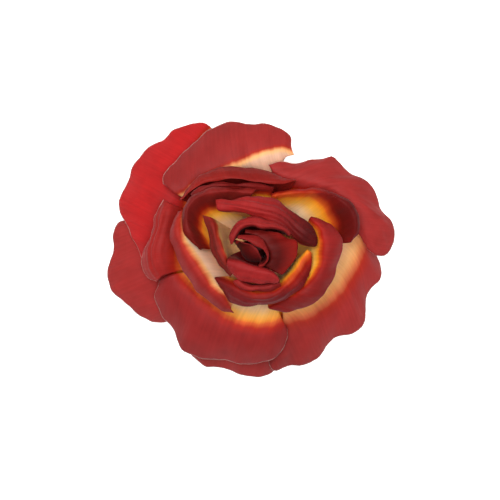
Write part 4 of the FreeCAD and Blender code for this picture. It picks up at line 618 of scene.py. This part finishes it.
def satin(name, seed, dye):
    """One petal's dyed satin, with painted shade on its red and a painted highlight along its rim.
    """
    material, tree = new_material(name)

    def fact(label):
        return add(tree, "ShaderNodeAttribute", attribute_name=label).outputs["Fac"]

    def maths(operation, first, second=0.0):
        node = tree.nodes.new("ShaderNodeMath")
        node.operation = operation
        for socket, value in zip(node.inputs, (first, second)):
            if isinstance(value, bpy.types.NodeSocket):
                tree.links.new(value, socket)
            else:
                socket.default_value = value
        return node.outputs["Value"]

    def between(value, low, high, start, finish):
        return add(tree, "ShaderNodeMapRange", {
            "Value": value, "From Min": low, "From Max": high,
            "To Min": start, "To Max": finish}).outputs["Result"]

    def noise(place, scale, detail):
        return add(tree, "ShaderNodeTexNoise", {
            "Vector": place, "Scale": scale, "Detail": detail}).outputs["Fac"]

    past_dye, across, along = fact("past_dye_mm"), fact("across_mm"), fact("along_mm")
    cloth = add(tree, "ShaderNodeCombineXYZ", {
        "X": across, "Y": along, "Z": float(seed)}).outputs["Vector"]
    streaks = add(tree, "ShaderNodeCombineXYZ", {
        "X": maths("MULTIPLY", across, 0.35), "Y": maths("MULTIPLY", along, 0.06),
        "Z": float(seed)}).outputs["Vector"]

    wander = maths("MULTIPLY", maths("SUBTRACT", noise(streaks, 0.7, 4.0), 0.5),
                   DYE_WANDER_MM)
    softened = maths("DIVIDE", maths("ADD", past_dye, wander), dye["soft"])
    place = maths("DIVIDE", maths("ADD", softened, DYE_LEAD_MM), DYE_SPAN_MM)
    glowing = add(tree, "ShaderNodeValToRGB", {"Fac": place})
    ramp_colours(glowing, [(0.26, dye["red"])] + GLOWING + [(0.70, dye["cream"])])
    plain = add(tree, "ShaderNodeValToRGB", {"Fac": place})
    ramp_colours(plain, [(0.26, dye["red"])] + PLAIN + [(0.64, dye["cream"])])
    dyed = add(tree, "ShaderNodeMix", {
        "Factor": dye["glow"], "A": plain.outputs["Color"],
        "B": glowing.outputs["Color"]}, data_type="RGBA")

    mottle = between(noise(cloth, 0.16, 5.0), 0.25, 0.75, 0.88, 1.12)
    threads = add(tree, "ShaderNodeCombineXYZ", {
        "X": maths("DIVIDE", across, DRAWN_THREAD_MM), "Y": maths("MULTIPLY", along, 0.05),
        "Z": float(seed)}).outputs["Vector"]
    lines = noise(threads, 1.0, 1.0)
    line_tone = between(lines, 0.3, 0.7, 0.94, 1.07)
    # Painted shade: in the red, the wine fact darkens the dye where the rose lies deep and shaded.
    in_the_red = between(softened, -1.5, 1.0, 1.0, 0.0)
    painted_shade = maths("MULTIPLY", fact("wine"), in_the_red)
    wine = maths("SUBTRACT", 1.0, maths("MULTIPLY", painted_shade, PAINTED_SHADE_DEPTH))
    tone = maths("MULTIPLY", maths("MULTIPLY", mottle, line_tone), wine)
    toned = add(tree, "ShaderNodeVectorMath", {0: dyed.outputs["Result"], "Scale": tone},
                operation="SCALE")

    # Pale rim: the cut edge, with a painted highlight drawn into the same line.
    edge_width = between(noise(cloth, 0.5, 3.0), 0.35, 0.75, 0.15 * dye["fray_and_highlight"],
                         0.75 * dye["fray_and_highlight"])
    rim_edge_and_highlight = add(tree, "ShaderNodeMapRange", {
        "Value": fact("from_rim_mm"), "From Max": edge_width,
        "To Min": 0.5 * dye["fray_and_highlight"]**2, "To Max": 0.0}).outputs["Result"]
    coloured = add(tree, "ShaderNodeMix", {
        "Factor": rim_edge_and_highlight, "A": toned.outputs["Vector"], "B": linear(RIM_EDGE_AND_HIGHLIGHT)},
        data_type="RGBA")

    weave = add(tree, "ShaderNodeBump", {
        "Strength": 0.25, "Distance": 0.05 * MM, "Height": lines})
    pressed = add(tree, "ShaderNodeBump", {
        "Strength": 0.6, "Distance": 0.6 * MM, "Height": noise(streaks, 0.55, 3.0),
        "Normal": weave.outputs["Normal"]})
    surface = add(tree, "ShaderNodeBsdfPrincipled", {
        "Base Color": coloured.outputs["Result"], "Roughness": 0.6, "IOR": 1.5,
        "Specular IOR Level": 0.12, "Sheen Weight": 0.04, "Sheen Roughness": 0.35,
        "Sheen Tint": linear("#E8A0A0"), "Subsurface Weight": 0.12,
        "Subsurface Scale": 1.2 * MM, "Subsurface Radius": (1.0, 0.35, 0.25),
        "Normal": pressed.outputs["Normal"]})
    add(tree, "ShaderNodeOutputMaterial", {"Surface": surface.outputs["BSDF"]})
    return material


# %% [markdown]
# Each petal is built from its curves, rippled and pleated, given its dye facts and its satin,
# hung on the rose, and its imported piece is hidden.

# %% Make every petal
# Painted shade, wine and its band below the crest together, is kept under this limit.
PAINTED_SHADE_LIMIT = 1.3

for order, (label, curves) in enumerate(PETALS.items()):
    grid, along, below_crest = petal_grid(**curves)
    dye = dict(COMMON_DYE, **DYES[label])
    grid = ripple(grid, along, below_crest, dye["pleat"], seed=order + 1)
    # Painted shade: between two distances below the crest the red is drawn darker, by up to the
    # given depth, on top of the wine.
    start, finish, depth = dye["painted_shade_band"]
    painted_shade_band = depth * np.clip((below_crest / MM - start) / (finish - start), 0, 1)
    facts = {"past_dye_mm": below_crest / MM - spread(dye["reach"]),
             "wine": np.minimum(spread(dye["wine"]) + painted_shade_band, PAINTED_SHADE_LIMIT)}
    petal = cloth_object("satin_" + label, grid, along, facts)
    petal.data.materials.append(satin("dyed satin " + label, order + 1, dye))
    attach(petal, "rose")
    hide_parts(label)

# %% [markdown]
# ## The hidden parts
# Under the rose are a felt disc, a drop of hot-melt glue, moulded plastic and a plated
# steel clip. The felt is replaced by a softer disc and the spring by a smooth round wire.
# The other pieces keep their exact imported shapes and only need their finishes.

# %% Felt disc
FELT_SIDES = 120
FELT_WAVE = 0.12 * MM
FELT_TRIM = 0.2 * MM
FELT_LOW, FELT_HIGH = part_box("felt_backing")
felt_radius = (FELT_HIGH.x - FELT_LOW.x) / 2
felt_centre = (FELT_LOW + FELT_HIGH) / 2
felt_half = (FELT_HIGH.z - FELT_LOW.z) / 2


def felt_disc():
    """A scissor-cut disc: soft rounded edge with a slightly wandering outline."""
    dice = np.random.default_rng(7)
    waves = [(n, dice.uniform(0, 6.28), FELT_WAVE / n**0.5) for n in (3, 5, 9, 17, 31)]
    mesh_builder = bmesh.new()
    rings = []
    profile = [(0.0, 1.0), (0.5, 1.0), (0.93, 1.0), (0.985, 0.75), (1.0, 0.3), (1.0, -0.3),
               (0.985, -0.75), (0.93, -1.0), (0.5, -1.0), (0.0, -1.0)]
    for share, lift in profile:
        ring = []
        for k in range(FELT_SIDES if share > 0 else 1):
            angle = 2 * math.pi * k / FELT_SIDES
            wander = sum(height * math.sin(n * angle + phase) for n, phase, height in waves)
            reach = share * felt_radius + share * wander - share * FELT_TRIM
            place = felt_centre + Vector((reach * math.cos(angle), reach * math.sin(angle),
                                          lift * felt_half))
            ring.append(mesh_builder.verts.new(place))
        rings.append(ring)
    for first, second in zip(rings[:-1], rings[1:]):
        for k in range(FELT_SIDES):
            n = (k + 1) % FELT_SIDES
            if len(first) == 1:
                mesh_builder.faces.new((first[0], second[k], second[n]))
            elif len(second) == 1:
                mesh_builder.faces.new((first[n], first[k], second[0]))
            else:
                mesh_builder.faces.new((first[n], first[k], second[k], second[n]))
    bmesh.ops.recalc_face_normals(mesh_builder, faces=mesh_builder.faces)
    mesh = bpy.data.meshes.new("felt_disc")
    mesh_builder.to_mesh(mesh)
    mesh_builder.free()
    mesh.shade_smooth()
    disc = bpy.data.objects.new("felt_disc", mesh)
    bpy.context.scene.collection.objects.link(disc)
    return disc


felt = felt_disc()
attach(felt, "rose")
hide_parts("felt_backing")

# %% [markdown]
# Felt is pressed wool or acrylic fibre with no weave: matt, a little fuzzy, with stray
# fibres lighter than the rest. Noise at fibre width drives both its tone and its bump.

# %% Felt finish
FIBRE_MM = 0.12
felt_finish, tree = new_material("pressed craft felt")
coordinates = add(tree, "ShaderNodeTexCoord")
fibres = add(tree, "ShaderNodeTexNoise", {
    "Vector": coordinates.outputs["Object"], "Scale": 1 / (FIBRE_MM * 4 * MM),
    "Detail": 6.0, "Roughness": 0.7, "Distortion": 1.5})
tone = add(tree, "ShaderNodeValToRGB", {"Fac": fibres.outputs["Fac"]})
ramp_colours(tone, [(0.3, "#121212"), (0.6, "#232323"), (0.75, "#3A3A3A")])
fuzz = add(tree, "ShaderNodeBump", {
    "Strength": 0.8, "Distance": 0.2 * MM, "Height": fibres.outputs["Fac"]})
surface = add(tree, "ShaderNodeBsdfPrincipled", {
    "Base Color": tone.outputs["Color"], "Roughness": 0.95, "Sheen Weight": 0.6,
    "Sheen Roughness": 0.6, "Normal": fuzz.outputs["Normal"]})
add(tree, "ShaderNodeOutputMaterial", {"Surface": surface.outputs["BSDF"]})
felt.data.materials.append(felt_finish)

# %% [markdown]
# The clip's arms and pin are stamped from mild steel sheet and nickel plated: a warm grey
# mirror, blurred by the rolling marks of the sheet, which run along the arms.

# %% Plated steel and spring wire
ROLLING_MARK_MM = 0.15


def plated_steel(name, colour, roughness):
    material, tree = new_material(name)
    coordinates = add(tree, "ShaderNodeTexCoord")
    stretched = add(tree, "ShaderNodeMapping", {
        "Vector": coordinates.outputs["Object"], "Scale": (0.06, 1.0, 1.0)})
    marks = add(tree, "ShaderNodeTexNoise", {
        "Vector": stretched.outputs["Vector"], "Scale": 1 / (ROLLING_MARK_MM * 3 * MM),
        "Detail": 3.0})
    blur = add(tree, "ShaderNodeMapRange", {
        "Value": marks.outputs["Fac"], "To Min": roughness * 0.75, "To Max": roughness * 1.3})
    scratches = add(tree, "ShaderNodeBump", {
        "Strength": 0.12, "Distance": 0.02 * MM, "Height": marks.outputs["Fac"]})
    surface = add(tree, "ShaderNodeBsdfPrincipled", {
        "Base Color": linear(colour), "Metallic": 1.0, "Roughness": blur.outputs["Result"],
        "Normal": scratches.outputs["Normal"]})
    add(tree, "ShaderNodeOutputMaterial", {"Surface": surface.outputs["BSDF"]})
    return material


def refinish(label, material):
    nodes[label].data.materials.clear()
    nodes[label].data.materials.append(material)


nickel = plated_steel("nickel plated steel sheet", "#D8D4CC", 0.24)
for label in ("clip_upper_arm", "clip_lower_arm"):
    refinish(label, nickel)
refinish("hinge_pin", plated_steel("turned steel rivet", "#CFCBC2", 0.18))

# %% [markdown]
# The spring is one hard-drawn wire: a leg under the upper tail, two and a half turns round
# the pin and a leg on the lower tail. Squeezing the tails winds it, so the wire is drawn here as a
# smooth tube that bends from one arm to the other across its own width.

# %% Torsion spring
SPRING_LOW, SPRING_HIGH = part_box("torsion_spring")
pin_low, pin_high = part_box("hinge_pin")
PIN = (pin_low + pin_high) / 2
WIRE_RADIUS = 0.35 * MM
FULL_TURNS = 2
COIL_STEPS, LEG_STEPS = 72, 8
coil_radius = PIN.x - SPRING_LOW.x - WIRE_RADIUS
half_width = (SPRING_HIGH.y - SPRING_LOW.y) / 2 - WIRE_RADIUS
LEG_REACH = SPRING_HIGH.x - PIN.x
UPPER_LEG_Z = SPRING_HIGH.z - WIRE_RADIUS - PIN.z
LOWER_LEG_Z = SPRING_LOW.z + WIRE_RADIUS - PIN.z


def leg_slope(height):
    """Slope of a leg that touches the coil and ends at this height, by repeated guesses."""
    slope = 0.0
    for _step in range(20):
        slope = math.atan2(height - coil_radius / math.cos(slope), LEG_REACH)
    return slope


def spring_path():
    """Points from the end of the upper leg, round the coil, to the end of the lower leg."""
    up, down = leg_slope(UPPER_LEG_Z), leg_slope(-LOWER_LEG_Z)
    first, last = math.pi / 2 + up, 3 * math.pi / 2 - down + 2 * math.pi * FULL_TURNS
    points = [PIN + Vector((LEG_REACH, half_width, UPPER_LEG_Z))]
    for k in range(COIL_STEPS + 1):
        share = k / COIL_STEPS
        angle = first + (last - first) * share
        points.append(PIN + Vector((coil_radius * math.cos(angle),
                                    half_width * (1 - 2 * share),
                                    coil_radius * math.sin(angle))))
    points.append(PIN + Vector((LEG_REACH, -half_width, LOWER_LEG_Z)))
    return points


def tube(name, path, radius, sides=12):
    """A closed round tube along a path, capped at both ends."""
    mesh_builder = bmesh.new()
    rings = []
    sideways = Vector((0, 1, 0))
    for k, place in enumerate(path):
        ahead = path[min(k + 1, len(path) - 1)] - path[max(k - 1, 0)]
        ahead.normalize()
        across = ahead.cross(sideways).normalized()
        other = ahead.cross(across).normalized()
        ring = []
        for s in range(sides):
            angle = 2 * math.pi * s / sides
            ring.append(mesh_builder.verts.new(
                place + (across * math.cos(angle) + other * math.sin(angle)) * radius))
        rings.append(ring)
    for first, second in zip(rings[:-1], rings[1:]):
        for s in range(sides):
            n = (s + 1) % sides
            mesh_builder.faces.new((first[s], first[n], second[n], second[s]))
    mesh_builder.faces.new(rings[0])
    mesh_builder.faces.new(list(reversed(rings[-1])))
    bmesh.ops.recalc_face_normals(mesh_builder, faces=mesh_builder.faces)
    mesh = bpy.data.meshes.new(name)
    mesh_builder.to_mesh(mesh)
    mesh_builder.free()
    mesh.shade_smooth()
    piece = bpy.data.objects.new(name, mesh)
    bpy.context.scene.collection.objects.link(piece)
    return piece


legs = spring_path()
upper_steps = [legs[0].lerp(legs[1], k / LEG_STEPS) for k in range(LEG_STEPS)]
lower_steps = [legs[-2].lerp(legs[-1], k / LEG_STEPS) for k in range(1, LEG_STEPS + 1)]
spring = tube("spring_wire", upper_steps + legs[1:-1] + lower_steps, WIRE_RADIUS)
spring.data.materials.append(plated_steel("hard-drawn spring wire", "#A9A7A2", 0.3))
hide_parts("torsion_spring")
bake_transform(spring)

# %% [markdown]
# The stem parts are injection-moulded polyethylene, matt with a faint waxy gloss: leaf green
# for the cup, peg and lower collars, and wine red inside the bud, where a gap may show it.
# Moulding leaves them even in colour, so only a slow mottle breaks the surface.

# %% Moulded stem parts and hot-melt glue
def moulded(name, dark, light):
    material, tree = new_material(name)
    coordinates = add(tree, "ShaderNodeTexCoord")
    flow = add(tree, "ShaderNodeTexNoise", {
        "Vector": coordinates.outputs["Object"], "Scale": 1 / (3.0 * MM), "Detail": 3.0})
    tone = add(tree, "ShaderNodeMix", {
        "Factor": flow.outputs["Fac"], "A": linear(dark), "B": linear(light)},
        data_type="RGBA")
    grain = add(tree, "ShaderNodeTexNoise", {
        "Vector": coordinates.outputs["Object"], "Scale": 1 / (0.3 * MM)})
    skin = add(tree, "ShaderNodeBump", {
        "Strength": 0.15, "Distance": 0.03 * MM, "Height": grain.outputs["Fac"]})
    surface = add(tree, "ShaderNodeBsdfPrincipled", {
        "Base Color": tone.outputs["Result"], "Roughness": 0.45, "IOR": 1.51,
        "Normal": skin.outputs["Normal"]})
    add(tree, "ShaderNodeOutputMaterial", {"Surface": surface.outputs["BSDF"]})
    return material


green = moulded("moulded green polyethylene", "#3F5E33", "#4E7040")
wine_red = moulded("moulded wine-red polyethylene", "#4E0F0E", "#5E1614")
for label in ["base_cup", "stem_peg"] + ["spacer_collar_%d" % k for k in range(1, 5)]:
    refinish(label, green)
for label in ("spacer_collar_5", "spacer_collar_6", "bud_core"):
    refinish(label, wine_red)

glue, tree = new_material("hot-melt glue")
coordinates = add(tree, "ShaderNodeTexCoord")
strings = add(tree, "ShaderNodeTexNoise", {
    "Vector": coordinates.outputs["Object"], "Scale": 1 / (2.5 * MM), "Distortion": 1.0})
cloud = add(tree, "ShaderNodeMix", {
    "Factor": strings.outputs["Fac"], "A": linear("#E9E2CC"), "B": linear("#D9CFB2")},
    data_type="RGBA")
lumps = add(tree, "ShaderNodeBump", {
    "Strength": 0.5, "Distance": 0.2 * MM, "Height": strings.outputs["Fac"]})
surface = add(tree, "ShaderNodeBsdfPrincipled", {
    "Base Color": cloud.outputs["Result"], "Roughness": 0.3, "IOR": 1.48,
    "Subsurface Weight": 0.3, "Subsurface Scale": 1.5 * MM, "Normal": lumps.outputs["Normal"]})
add(tree, "ShaderNodeOutputMaterial", {"Surface": surface.outputs["BSDF"]})
refinish("glue_pad", glue)
